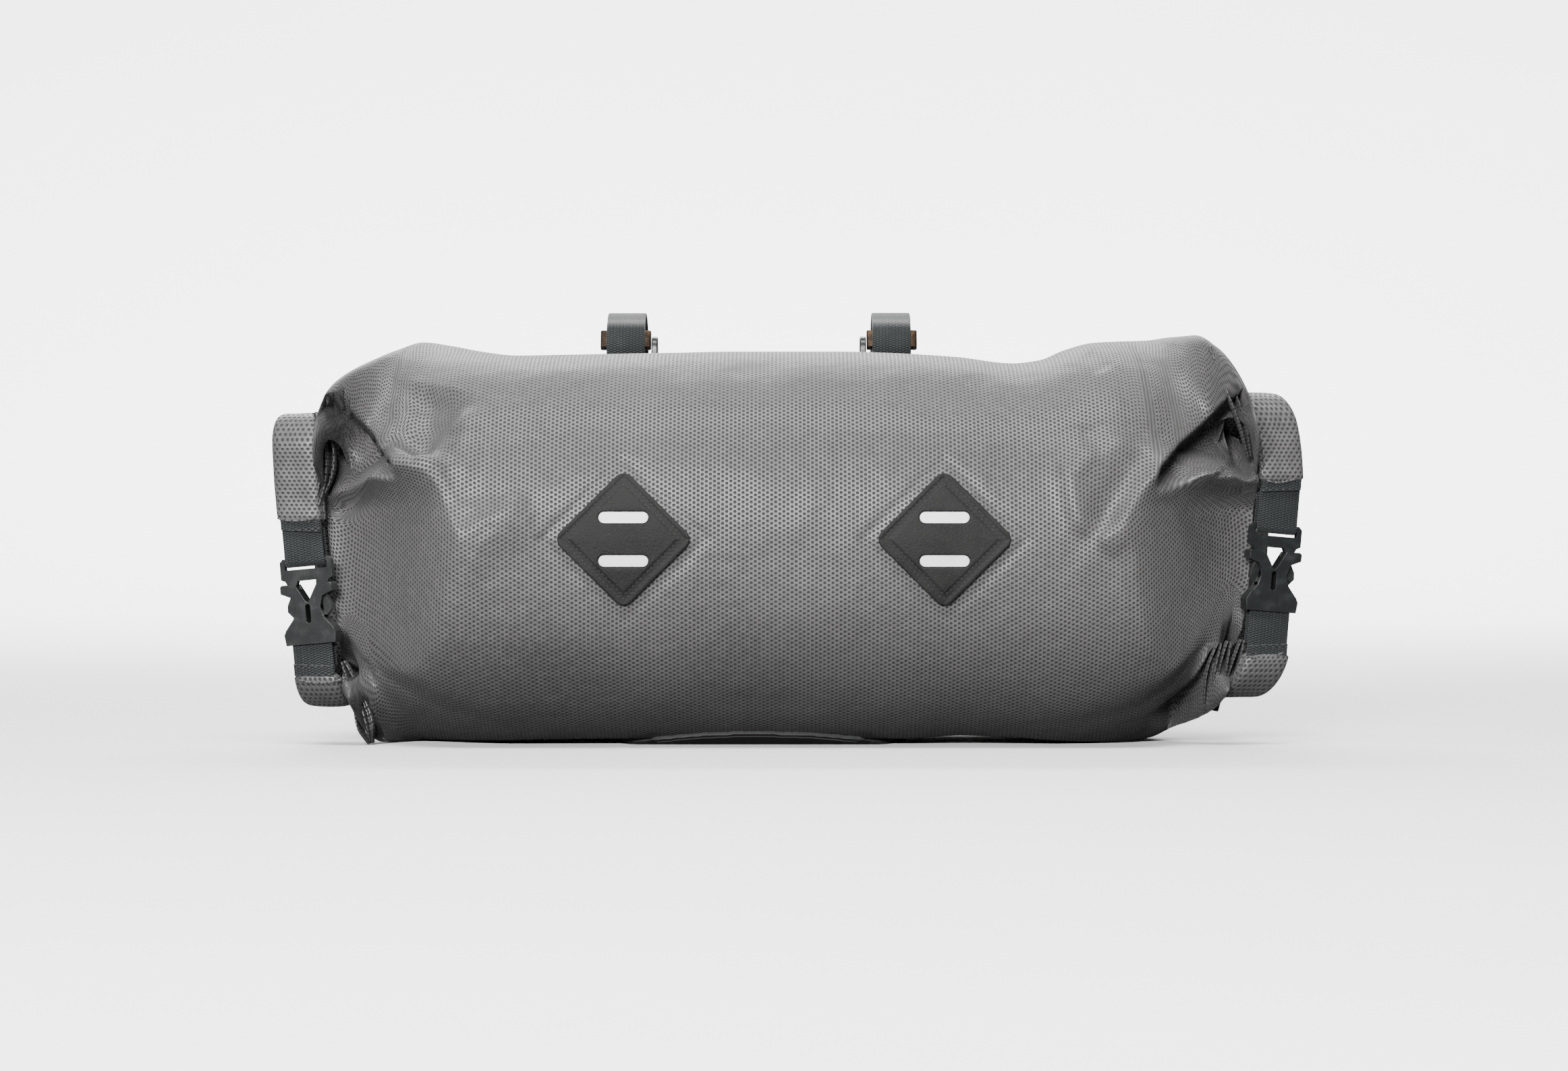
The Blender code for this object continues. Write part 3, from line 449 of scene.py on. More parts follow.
def ring_runs(mouth):
    """Runs (length, first angle, last angle) of the C, from the lower tip to the upper one."""
    low = mouth["low"] * BAG_HEIGHT + ROLL_THICK / 2
    high = mouth["high"] * BAG_HEIGHT - ROLL_THICK / 2
    corner, turn = ROLL_CORNER, math.pi / 2
    lower_arm = mouth["lower_tip"] * BAG_HEIGHT - (low + corner)
    upper_arm = (high - corner) - mouth["upper_tip"] * BAG_HEIGHT
    flat_run = RING_DEPTH - 2 * corner
    return ((lower_arm, -2 * turn, -2 * turn), (corner * turn, -2 * turn, -turn),
            (flat_run, -turn, -turn), (corner * turn, -turn, 0.0), (high - low - 2 * corner, 0.0, 0.0),
            (corner * turn, 0.0, turn), (flat_run, turn, turn), (corner * turn, turn, 2 * turn),
            (upper_arm, 2 * turn, 2 * turn))


def bent_path(mouth, curl, length, shares):
    """Y, Z and direction along a line bent from upright, curl 0, to the C, curl 1."""
    runs = ring_runs(mouth)
    ends = np.cumsum([0.0] + [run[0] for run in runs])
    centre = (ends[4] + runs[4][0] / 2) / ends[-1]

    def direction(share):
        reach = np.where(share < centre, centre, 1 - centre)
        away = (share - centre) / reach
        ring = np.interp(share * ends[-1], np.stack((ends[:-1], ends[1:] - 1e-9), 1).ravel(),
                         [angle for run in runs for angle in run[1:]])
        soft = math.pi * away * np.abs(away)
        return curl * (soft + (ring - soft) * curl ** 6)

    middles = (np.arange(PATH_STEPS) + 0.5) / PATH_STEPS
    angles = direction(middles)
    step = length / PATH_STEPS
    ys = np.concatenate(([0.0], np.cumsum(-np.sin(angles) * step)))
    zs = np.concatenate(([0.0], np.cumsum(np.cos(angles) * step)))
    grid = np.linspace(0, 1, PATH_STEPS + 1)
    ys -= np.interp(centre, grid, ys)
    zs -= np.interp(centre, grid, zs)
    return np.interp(shares, grid, ys), np.interp(shares, grid, zs), direction(np.asarray(shares))


def swung(mouth, x, depth, out, turn=1.0):
    """Place across the floor of a point of the C: depth behind its front arm, out across its band."""
    angle = RING_SWING * turn
    away = x - depth * math.sin(angle) + out * math.cos(angle)
    return mouth["side"] * away, RING_FRONT + depth * math.cos(angle) + out * math.sin(angle)


def tube_outline(mouth_name, along):
    """Closed outline of the tube at a share of the way to a mouth, from the lower tip up the back."""
    mouth = MOUTHS[mouth_name]
    inset = (ROLL_THICK / 2 - SLIT_HALF) / BAG_HEIGHT
    ends = (mouth["high"] - inset, mouth["low"] + inset)
    rows = [row if row[4] is not None else (*row[:4], *ends, 0.0) for row in SECTIONS[mouth_name]]
    row = {name: float(smooth_between([r[0] for r in rows], [r[column] for r in rows], along))
           for column, name in enumerate(SECTION_COLUMNS)}
    flat = row["flat"]
    length = BAG_HEIGHT + (sum(run[0] for run in ring_runs(mouth)) - BAG_HEIGHT) * flat
    sides = []
    for count, way, bulge in ((CLOTH_BACK, 1, 1.0), (CLOTH_FRONT, -1, END_BULGE)):
        turns = np.linspace(0, 1, count + 1)
        shares = (0.5 - 0.5 * np.cos(math.pi * turns)) * (1 - flat) + turns * flat
        ys, zs, angles = bent_path(mouth, row["curl"], length, shares)
        ys = ys + (RING_FRONT + RING_DEPTH) * flat
        swell = np.maximum(0.0, 1 - np.abs(2 * shares - 1) ** ROUNDNESS) ** (1 / ROUNDNESS)
        tip = np.full(count + 1, SLIT_HALF)
        tip[[0, -1]] = 0.0
        middle = smooth_span(FULL_SPAN, shares)
        late = flat ** (1 + (bulge - 1) * middle)
        depth = way * (BAG_DEPTH / 2 * swell * (1 - late) + tip * late)
        proud = middle * smooth_step(*OVERHANG_DEPTH, -depth) * smooth_step(*OVERHANG_FLAT, flat)
        sides.append(np.stack((ys + depth * np.cos(angles), zs + depth * np.sin(angles), zs, proud), 1))
    loop = np.concatenate((sides[0], sides[1][-2:0:-1]))
    top = row["top"] * BAG_HEIGHT
    bottom = row["rise"] * BAG_HEIGHT + row["seat"] * PANEL_LIFT
    press = BASE_PRESS * (1 - flat)
    high, low = loop[:, 1].max(), loop[:, 1].min()
    height, core = (bottom - press + (top - bottom + press) * (c - low) / (high - low)
                    for c in (loop[:, 1], loop[:, 2]))
    height = np.maximum(height, bottom)
    lean = (mouth_x(mouth, core) - mouth["reach"]) * flat
    seam = ROLL_WIDTH / 2 + MOUTH_SEAM
    x = mouth["reach"] * along + seam * (1 - along) + lean + END_OVERHANG * loop[:, 3]
    xs, ys = swung(mouth, x, loop[:, 0] - RING_FRONT, -seam, row["turn"])
    return np.stack((xs, ys, height), 1)


def line_distance(places, line):
    """Distance to a line of points, whether it lies below the place, and how far along it is."""
    best = np.full(places.shape[:-1], 1e9)
    along = np.zeros_like(best)
    below = np.zeros_like(best)
    spans = np.linalg.norm(np.diff(line, axis=0), axis=1)
    starts = np.concatenate(([0.0], np.cumsum(spans)))
    for index in range(len(line) - 1):
        a, b = np.array(line[index], float), np.array(line[index + 1], float)
        t = np.clip(((places - a) @ (b - a)) / ((b - a) @ (b - a)), 0, 1)
        near = a + t[..., None] * (b - a)
        distance = np.linalg.norm(places - near, axis=-1)
        closer = distance < best
        best = np.where(closer, distance, best)
        along = np.where(closer, (starts[index] + t * spans[index]) / starts[-1], along)
        cross = (b - a)[0] * (places - near)[..., 1] - (b - a)[1] * (places - near)[..., 0]
        below = np.where(closer, np.sign(cross), below)
    return best, below, along


def grid_normals(grid):
    along = np.gradient(grid, axis=0)
    around = np.roll(grid, -1, axis=1) - np.roll(grid, 1, axis=1)
    normals = np.cross(along, around)
    normals /= np.maximum(np.linalg.norm(normals, axis=2, keepdims=True), 1e-12)
    middle = grid.mean(axis=1, keepdims=True)
    centre = len(grid) // 2
    return normals if np.sum(normals[centre] * (grid - middle)[centre]) > 0 else -normals


PATCH_SIDE = 0.0450
PATCH_SPACING = 0.1444
PATCH_HEIGHT = 0.0953
PRESS_AWAY = 0.0036
PRESS_WIDTH = 0.0017
PRESS_DEPTH = 0.0007


def patch_press(grid):
    """How deep the cloth is pressed round the two patches, by the seam that holds each."""
    across = np.abs(np.abs(grid[..., 0]) - PATCH_SPACING / 2)
    reach = (across ** 6 + 1e-18) ** (1 / 6) + np.abs(grid[..., 2] - PATCH_HEIGHT)
    seam = (PATCH_SIDE / 2 + PRESS_AWAY) * math.sqrt(2)
    return PRESS_DEPTH * np.exp(-((reach - seam) / (PRESS_WIDTH * math.sqrt(2))) ** 2)


def creased(grid):
    """The grid with each crease of the front raised or sunk."""
    normals = grid_normals(grid)
    places = photo_place(grid)
    facing = smooth_step(*FACING, -normals[..., 1])
    lift = np.zeros(grid.shape[:2])
    for line, height, over, under in CREASES:
        distance, below, along = line_distance(places, line)
        spread = np.where(below > 0, under, over)
        fade = np.maximum(smooth_span(CREASE_FADE, along), CREASE_LEAST)
        lift += height / 1000 * fade * np.exp(-(distance / spread) ** 2)
    lift -= patch_press(grid)
    grid = grid + normals * (lift * facing)[..., None]
    for line, depth, reach, turn in HOLLOWS:
        distance, below, along = line_distance(places, line)
        inside = np.where(below * np.sign(depth) > 0, distance, 0.0)
        fall = smooth_step(0, turn, inside) * np.exp(-(inside / reach) ** 2)
        grid[..., 1] += abs(depth) / 1000 * fall * smooth_span(HOLLOW_FADE, along) * facing
    return grid


def behind_closures(grid):
    """The grid with its ends drawn back behind the webbing and buckle that cross them."""
    for mouth in MOUTHS.values():
        away = grid[..., 0] * mouth["side"] - mouth["reach"]
        share = smooth_step(*CLOSURE_BESIDE, away) * smooth_span(CLOSURE_SPAN, grid[..., 2])
        excess = CLOSURE_FREE + (CLOSURE_BACK - CLOSURE_FREE) * share - grid[..., 1]
        eased = CLOSURE_EASE * np.exp(-np.abs(excess) / CLOSURE_EASE) * 0.3
        grid[..., 1] += np.where(excess > -CLOSURE_EASE, np.maximum(excess, 0) + eased, 0)
    return grid


def tube_rows(count):
    """Shares of the way to a mouth, closer together near it."""
    t = np.linspace(0, 1, count + 1)
    return t + 0.16 * np.sin(math.pi * t)


def body_grid():
    left = [tube_outline("left", along) for along in tube_rows(CLOTH_ROWS)[:0:-1]]
    right = [tube_outline("right", along) for along in tube_rows(CLOTH_ROWS)]
    return np.array(left + right)


def tube_faces(rows, count, corner):
    """Faces between the rows of a tube, with the UV of each corner from its row and its place."""
    faces, uvs = [], []
    for i in range(rows - 1):
        for j in range(count):
            k = (j + 1) % count
            faces.append((i * count + j, i * count + k, (i + 1) * count + k, (i + 1) * count + j))
            uvs += [corner(i, j), corner(i, j + 1), corner(i + 1, j + 1), corner(i + 1, j)]
    return faces, uvs


def outward(item, sharp_angle):
    """The piece with its faces turned outwards, and edges sharp over an angle in degrees."""
    data = bmesh.new()
    data.from_mesh(item.data)
    bmesh.ops.recalc_face_normals(data, faces=data.faces)
    data.to_mesh(item.data)
    data.free()
    item.data.set_sharp_from_angle(angle=math.radians(sharp_angle))
    return item


def grid_mesh(name, grid, material):
    """A closed tube through rows of points, with UVs in metres measured from the front's middle."""
    rows, count = grid.shape[:2]
    along = np.linalg.norm(np.diff(grid, axis=0), axis=2)
    along = np.concatenate((np.zeros((1, count)), np.cumsum(along, axis=0)))
    along -= along[rows // 2]
    around = np.linalg.norm(np.roll(grid, -1, axis=1) - grid, axis=2)
    around = np.concatenate((np.zeros((rows, 1)), np.cumsum(around, axis=1)), axis=1)
    around -= around[:, [count - CLOTH_FRONT // 2]]
    faces, uvs = tube_faces(rows, count, lambda i, j: (along[i, j % count], around[i, j]))
    return mesh_object(name, grid.reshape(-1, 3), faces, material, uvs)


# The weave's pits: distance between columns and rows, and where a pit's floor and rim lie
PIT_COLUMNS = 2 * 0.00184
PIT_ROWS = 0.00215
PIT_FLOOR = 0.00030
PIT_RIM = 0.00078
PIT_DEPTH = 0.00035
SLACK_SIZE = 0.035
SLACK_DEPTH = 0.0022
# Height up to which painted shade darkens the cloth, and how strongly
PAINTED_SHADE_TOP = 0.072
PAINTED_SHADE_SHARE = 0.72
CLOTH_PALE = (0.070, 0.0675, 0.0672)
CLOTH_LIGHT = (0.088, 0.0852, 0.0848)
CLOTH_DEEP = (0.0080, 0.0078, 0.0084)


def cloth_finish(name, shade):
    """Coated polyester: a fine hexagonal net over small dark pits, with painted shade darkening it towards
    the bottom.
    """
    finish = Finish(name, Specular_IOR_Level=0.5, Sheen_Weight=0.05, Sheen_Roughness=0.5)
    u, v, _ = finish.split(finish.node("ShaderNodeUVMap", {"uv_map": "UVMap"}))

    def pits(shift):
        across = ((u / PIT_COLUMNS + shift).cycle() - 0.5) * PIT_COLUMNS
        along = ((v / PIT_ROWS + shift).cycle() - 0.5) * PIT_ROWS
        return (across * across + along * along) ** 0.5

    pit = 1 - pits(0.0).least(pits(0.5)).steps(PIT_FLOOR, PIT_RIM)
    tone = finish.cloud(0.09, 2.0)
    fine = finish.cloud(0.0035, 2.0)
    height = finish.split(finish.place())[2] + (tone - 0.5) * 0.02
    pale, light, deep = ([shade * c for c in tint] for tint in (CLOTH_PALE, CLOTH_LIGHT, CLOTH_DEEP))
    ground = finish.mix(tone.steps(0.3, 0.7), pale, light)
    ground = finish.mix(fine.steps(0.35, 0.75) * 0.6, ground, [1.25 * c for c in light])
    # Painted shade: the cloth is darkened towards the bottom of the bag.
    low_painted_shade = (1 - height.steps(-0.004, PAINTED_SHADE_TOP)) * PAINTED_SHADE_SHARE
    ground = finish.mix(low_painted_shade, ground, [0.22 * c for c in pale])
    slack = finish.bump(finish.cloud(SLACK_SIZE, 3.0), SLACK_DEPTH)
    return finish.feed(Base_Color=finish.mix(pit * 0.9, ground, deep),
                       Roughness=0.40 + pit * 0.28 + fine * 0.10,
                       Normal=finish.bump(1 - pit, PIT_DEPTH, slack))


coated_cloth = cloth_finish("coated_cloth", 1.0)
body_points = behind_closures(creased(body_grid()))
body_cloth = grid_mesh("body_cloth", body_points, coated_cloth)
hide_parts("bag_shell")
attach(body_cloth, "root")

# Rolled mouths
# Each end of the tube is laid flat, rolled up over itself three times and bent forward into a C,
# so that it is a thick cloth band whose layers show along its edges and at its two cut ends.

BAND_STEPS = 150
BAND_LAYERS = 4
LAYER_GROOVE = 0.00055
BAND_AROUND = 72
BAND_SQUARENESS = 5
END_DRAW = 0.16
END_DRAW_LENGTH = 0.0016
# Slow waves of the band's skin: how deep, and how many radians over its whole length
SKIN_WAVES = ((0.00035, 46), (0.00025, 103))
BAND_BOW = (0.0006, 17)


def band_section():
    """Width and thickness offsets round the band, with a groove between layers on both edges."""
    points = []
    for k in range(BAND_AROUND):
        angle = 2 * math.pi * k / BAND_AROUND
        c, s = math.cos(angle), math.sin(angle)
        size = (abs(c) ** BAND_SQUARENESS + abs(s) ** BAND_SQUARENESS) ** (-1 / BAND_SQUARENESS)
        out, thick = ROLL_WIDTH / 2 * c * size, ROLL_THICK / 2 * s * size
        edge = max(0.0, abs(out) - ROLL_WIDTH * 0.40) / (ROLL_WIDTH * 0.10)
        layer = abs(math.sin(math.pi * (thick / ROLL_THICK + 0.5) * BAND_LAYERS))
        out -= math.copysign(LAYER_GROOVE * (1 - layer) ** 2 * edge, out)
        points.append((out, thick))
    return points


def band_frame(mouth, y, z, angle, out, thick):
    """Place of a point of the band's cross-section at a point of the C."""
    runs = ring_runs(mouth)
    rise = mouth["low"] * BAG_HEIGHT + ROLL_THICK / 2 + ROLL_CORNER + runs[4][0] / 2
    height = z + rise + thick * math.sin(angle)
    depth = y + RING_DEPTH + thick * math.cos(angle)
    x, y_swung = swung(mouth, float(mouth_x(mouth, height)), depth, out)
    return Vector((x, y_swung, height))


def rolled_band(mouth_name):
    """The band's skin, swept along the C and drawn in a little at its cut ends."""
    mouth = MOUTHS[mouth_name]
    total = sum(run[0] for run in ring_runs(mouth))
    shares = np.linspace(0, 1, BAND_STEPS + 1)
    ys, zs, angles = bent_path(mouth, 1.0, total, shares)
    section = band_section()
    rows, uvs = [], []
    for share, y, z, angle in zip(shares, ys, zs, angles):
        near = min(share, 1 - share) * total
        draw = 1 - END_DRAW * (1 - smooth_step(0.0, END_DRAW_LENGTH, near))
        (deep, turns), (finer, more_turns) = SKIN_WAVES
        wave = (deep * math.sin(share * turns + mouth["side"])
                + finer * math.sin(share * more_turns))
        bow = BAND_BOW[0] * math.sin(share * BAND_BOW[1] + 2 * mouth["side"])
        rows.append([band_frame(mouth, y, z, angle, out * draw + bow * (thick > 0),
                                thick * draw + wave * (1 - (2 * out / ROLL_WIDTH) ** 2))
                     for out, thick in section])
        uvs.append([(share * total, 3.0 * ROLL_WIDTH * k / BAND_AROUND)
                    for k in range(BAND_AROUND + 1)])
    verts = [point for row in rows for point in row]
    faces, corners = tube_faces(len(rows), BAND_AROUND, lambda i, j: uvs[i][j])
    for end in (0, BAND_STEPS):
        ring = [end * BAND_AROUND + j for j in range(BAND_AROUND)]
        middle = len(verts)
        verts.append(sum((verts[r] for r in ring), Vector()) / BAND_AROUND)
        for j in range(BAND_AROUND):
            pair = (ring[j], ring[(j + 1) % BAND_AROUND])
            faces.append((*(pair[::-1] if end == 0 else pair), middle))
            corners += [uvs[end][j], uvs[end][j + 1], uvs[end][j]]
    return outward(mesh_object(f"rolled_band_{mouth_name}", verts, faces, coated_cloth, corners), 55)


for mouth_name in MOUTHS:
    band = rolled_band(mouth_name)
    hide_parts(f"roll_{mouth_name}")
    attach(band, "root")

# End webbing
# Black nylon webbing, 19 mm wide, sewn between the layers of each rolled tip. It goes round a
# bar of the buckle and back on itself, with its folded end lying under the tip's edge.

WEBBING_WIDTH = 0.019
WEBBING_THICK = 0.0013
BUCKLE_LENGTH = 0.0400
BUCKLE_BAR = 0.0011
LOWER_BAR_INSET = 0.0030
GAP = 0.0003
TUCK = 0.0010
FOLDED_END = 0.0052
WEAVE_COLUMN = 0.0016
WEAVE_RIB = 0.0011
WEAVE_DEPTH = 0.00028


def webbing_finish(name, base, edge):
    """Tight weave: ribs across the strap in staggered columns."""
    finish = Finish(name, Specular_IOR_Level=0.3, Sheen_Weight=0.25, Sheen_Roughness=0.4)
    u, v, _ = finish.split(finish.node("ShaderNodeUVMap", {"uv_map": "UVMap"}))
    column = (u / WEAVE_COLUMN).cycle()
    stagger = (u / (2 * WEAVE_COLUMN)).cycle().steps(0.49, 0.51) * 0.5
    rib = abs((v / WEAVE_RIB + stagger).cycle() - 0.5) * 2
    thread = (1 - abs(column - 0.5) * 2).steps(0.0, 0.5) * 0.45 + 0.55
    height = (1 - rib * rib) * thread
    tone = finish.cloud(0.012, 2.0)
    worn = finish.mix(tone.steps(0.35, 0.75), base, edge)
    # Painted shade: the weave's low grooves are darkened to a quarter of the strap's colour.
    deep = [0.25 * c for c in base]
    tint = finish.mix(height.steps(0.1, 0.9), deep, worn)
    return finish.feed(Base_Color=tint, Roughness=0.72 - height * 0.15,
                       Normal=finish.bump(height, WEAVE_DEPTH))


def swept_strap(name, path, place, width, thick, material, ends=(0.0, 0.0)):
    """Flat strap with rounded edges along a path of (y, z). ends slant its two cut ends."""
    half, round_edge = width / 2, thick * 0.38
    section = []
    for side_x, side_t, start in ((1, 1, 0), (-1, 1, 90), (-1, -1, 180), (1, -1, 270)):
        for k in range(4):
            angle = math.radians(start + 30 * k)
            section.append((side_x * (half - round_edge) + round_edge * math.cos(angle),
                            side_t * (thick / 2 - round_edge) + round_edge * math.sin(angle)))
    path = np.array(path)
    directions = np.gradient(path, axis=0)
    directions /= np.linalg.norm(directions, axis=1, keepdims=True)
    lengths = run_lengths(path)
    count, verts = len(section), []
    for index, ((y, z), (dy, dz)) in enumerate(zip(path, directions)):
        slant = ends[0] if index == 0 else ends[1] if index == len(path) - 1 else 0.0
        for x, t in section:
            verts.append(place @ Vector((x, y - dz * t, z + dy * t + x * slant)))

    def corner(i, j):
        return section[j % count][0] + half, lengths[i]

    faces, corners = tube_faces(len(path), count, corner)
    for end in (0, len(path) - 1):
        ring = [end * count + j for j in range(count)]
        faces.append(ring[::-1] if end == 0 else ring)
        corners += [corner(end, r) for r in faces[-1]]
    return outward(mesh_object(name, verts, faces, material, corners), 50)


def closure_frame(mouth_name):
    """A mouth's buckle: its matrix, the slope of the band's cut ends, and how far those are."""
    mouth = MOUTHS[mouth_name]
    tips = []
    for key in ("upper_tip", "lower_tip"):
        height = mouth[key] * BAG_HEIGHT
        tips.append(Vector((*swung(mouth, float(mouth_x(mouth, height)), 0.0, 0.0), height)))
    up = (tips[0] - tips[1]).normalized()
    swing = RING_SWING * mouth["side"]
    band_way = Vector((math.cos(swing), math.sin(swing), 0.0))
    across = (band_way - up * band_way.dot(up)).normalized()
    centre = tips[0] - up * (mouth["drop"] + BUCKLE_LENGTH / 2)
    matrix = Matrix((across, up.cross(across), up)).transposed().to_4x4()
    matrix.translation = centre
    slope = band_way.dot(up) / band_way.dot(across)
    return matrix, slope, (tips[0] - centre).length, (tips[1] - centre).length


def hairpin(bar_z, direction, radius, long_leg, short_leg):
    """Down the front, round a bar and back up behind it."""
    points = [(-radius, bar_z + direction * long_leg * (1 - k / 6)) for k in range(6)]
    for step in range(13):
        angle = math.pi * step / 12
        points.append((-radius * math.cos(angle), bar_z - direction * radius * math.sin(angle)))
    return points + [(radius, bar_z + direction * short_leg * k / 6) for k in range(1, 7)]


end_webbing = webbing_finish("end_webbing_weave", (0.013, 0.016, 0.017), (0.024, 0.028, 0.029))
for mouth_name in MOUTHS:
    matrix, slope, to_upper, to_lower = closure_frame(mouth_name)
    radius = BUCKLE_BAR + 2 * GAP + WEBBING_THICK / 2
    upper_bar = BUCKLE_LENGTH / 2 - BUCKLE_BAR
    lower_bar = -BUCKLE_LENGTH / 2 + LOWER_BAR_INSET
    for level, bar, way, leg in (("upper", upper_bar, 1, to_upper - upper_bar),
                                 ("lower", lower_bar, -1, to_lower + lower_bar)):
        strap = swept_strap(f"end_webbing_{level}_{mouth_name}",
                            hairpin(bar, way, radius, leg + TUCK, leg * 0.8), matrix,
                            WEBBING_WIDTH, WEBBING_THICK, end_webbing, (slope, 0.0))
        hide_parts(f"webbing_{level}_{mouth_name}")
        fold = [(-radius - WEBBING_THICK * 1.02, bar + way * (leg + TUCK - FOLDED_END * k / 4))
                for k in range(5)]
        stub = swept_strap(f"webbing_fold_{level}_{mouth_name}", fold, matrix, WEBBING_WIDTH * 0.99,
                           WEBBING_THICK * 0.9, end_webbing, (slope, slope * 1.4))
        for item in (strap, stub):
            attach(item, "root")

# Folded edges
# Where the tube is gathered into its rolled ends, cut edges and pleats of the same cloth stick
# out: layers beside each upper tip, a doubled hem over the right shoulder, pleats at the corners.

# Line of the front edge as (x, y) in pixels of the full front view and depth in mm, reach behind
# it in mm, and how far the two walls of the fold stand apart in mm
FOLDS = {
    "tip_layers_left": (
        ((466, 611, -43.5), (476, 650, -45.5), (479, 700, -46.0), (466, 764, -45.0)), 8.0, 1.7),
    "tip_pleat_left": (
        ((470, 614, -42.0), (487, 652, -43.5), (490, 690, -43.5), (471, 748, -42.5)), 9.0, 1.9),
    "tip_layers_right": (
        ((1850, 600, -43.5), (1862, 640, -45.5), (1868, 676, -46.0), (1872, 706, -45.5)), 8.0, 1.6),
    "shoulder_hem_right": (
        ((1794, 514, -46.5), (1808, 542, -52.0), (1827, 586, -57.0), (1842, 628, -54.0),
         (1852, 676, -46.5)), 10.0, 2.4),
    "ear_pleat_left": (
        ((531, 1028, -39.0), (537, 1058, -41.5), (543, 1084, -42.0), (549, 1102, -39.0)), 10.0, 6.4),
    "ear_fold_left": (
        ((536, 1040, -37.5), (543, 1062, -39.0), (548, 1082, -39.0), (550, 1098, -37.5)), 6.0, 1.2),
    "ear_hem_left": (
        ((508, 980, -41.5), (520, 1008, -41.5), (528, 1036, -39.5)), 9.0, 1.8),
    "corner_pleat_right": (
        ((1808, 952, -41.0), (1796, 990, -40.5), (1790, 1030, -38.5), (1788, 1056, -36.0)), 10.0, 2.6),
    "corner_fold_right": (
        ((1822, 950, -41.0), (1814, 985, -40.0), (1808, 1020, -37.5), (1802, 1054, -35.0)), 10.0, 2.4),
    "corner_hem_right": (
        ((1842, 948, -41.0), (1834, 975, -40.0), (1824, 1004, -38.0), (1812, 1034, -36.0)), 9.0, 2.0),
}
FOLD_WALL = 0.0009
FOLD_STEPS = 40
# Cut edges of the rolled tips, as points (x, y) in pixels and depth in mm: the band is turned,
# so that each edge runs back towards its outer side
CUT_EDGES = {
    "cut_edge_upper_left": (
        (411, 768, -42.4), (425, 771, -43.4), (448, 771, -45.1), (468, 768, -46.5)),
    "cut_edge_lower_left": (
        (440, 1007, -42.4), (456, 1011, -43.4), (480, 1012, -44.8), (500, 1009, -45.9),
        (513, 1003, -46.5)),
    "cut_edge_upper_right": (
        (1877, 712, -46.5), (1892, 715, -45.3), (1912, 712, -43.8), (1926, 708, -42.6)),
    "cut_edge_lower_right": (
        (1850, 972, -46.5), (1864, 976, -45.4), (1886, 974, -43.8), (1904, 966, -42.5)),
}
CUT_RADIUS = 0.00055
CUT_STEPS = 90
CUT_AROUND = 10
# Frayed rims: how much thicker and thinner, at how many radians over the edge, and from where
FRAYS = ((0.28, 150, 0), (0.22, 67, 1), (0.15, 31, 0))
# The folds' copy of the cloth is darkened by this share: painted shade for their hollows.
FOLD_PAINTED_SHADE = 0.62


def from_photo(x, y, depth):
    """Place in space of a pixel of the front view, at a depth."""
    scale = VIEW_WIDTH / PHOTO_SIZE[0] * (depth + CAMERA_DISTANCE) / CAMERA_DISTANCE
    return Vector(((x - PHOTO_SIZE[0] / 2) * scale, depth,
                   CAMERA_HEIGHT - (y - PHOTO_SIZE[1] / 2) * scale))


def eased_line(points, steps):
    """A smooth line through points, with its share of the way at each step."""
    points = np.array([(*point,) for point in points])
    places = run_lengths(points) / run_lengths(points)[-1]
    shares = np.linspace(0, 1, steps + 1)
    slopes = np.gradient(points, places, axis=0)
    index = np.clip(np.searchsorted(places, shares, side="right") - 1, 0, len(places) - 2)
    width = (places[index + 1] - places[index])[:, None]
    t = (shares[:, None] - places[index][:, None]) / width
    return shares, cubic(t, width, points[index], points[index + 1], slopes[index], slopes[index + 1])


def swept_section(name, line, sections, material):
    """A closed skin through one section of (across, depth) for each point of a line in front view."""
    ways = np.gradient(line, axis=0)
    ways /= np.linalg.norm(ways, axis=1, keepdims=True)
    lengths, around = run_lengths(line), run_lengths(sections[len(sections) // 2])
    count, verts = len(sections[0]), []
    for point, way, section in zip(line, ways, sections):
        side = Vector((way[2], 0.0, -way[0]))
        verts += [Vector(point) + side * a + Vector((0.0, d, 0.0)) for a, d in section]

    def corner(i, j):
        return lengths[i], around[j % count]

    faces, corners = tube_faces(len(line), count, corner)
    for end in (0, len(line) - 1):
        faces.append([end * count + j for j in range(count)])
        corners += [corner(end, j) for j in range(count)]
    return outward(mesh_object(name, verts, faces, material, corners), 50)


def fold_section(gap, deep):
    """A fold open to the front: two walls joined by a round back, with rounded lips."""
    wall, section = FOLD_WALL, []
    for side in (-1, 1):
        inner = [(side * gap / 2, 0.1 * wall), (side * gap / 2, deep - wall - gap * 0.4),
                 (side * gap * 0.3, deep - wall)]
        outer = [(side * (gap / 2 + wall), 0.1 * wall), (side * (gap / 2 + wall), deep - gap * 0.4),
                 (side * (gap * 0.3 + wall * 0.6), deep)]
        lip = [(side * (gap / 2 + wall * share), -0.35 * wall) for share in (0.75, 0.25)]
        run = outer[::-1] + lip + inner
        section += run if side < 0 else run[::-1]
    return np.array(section)
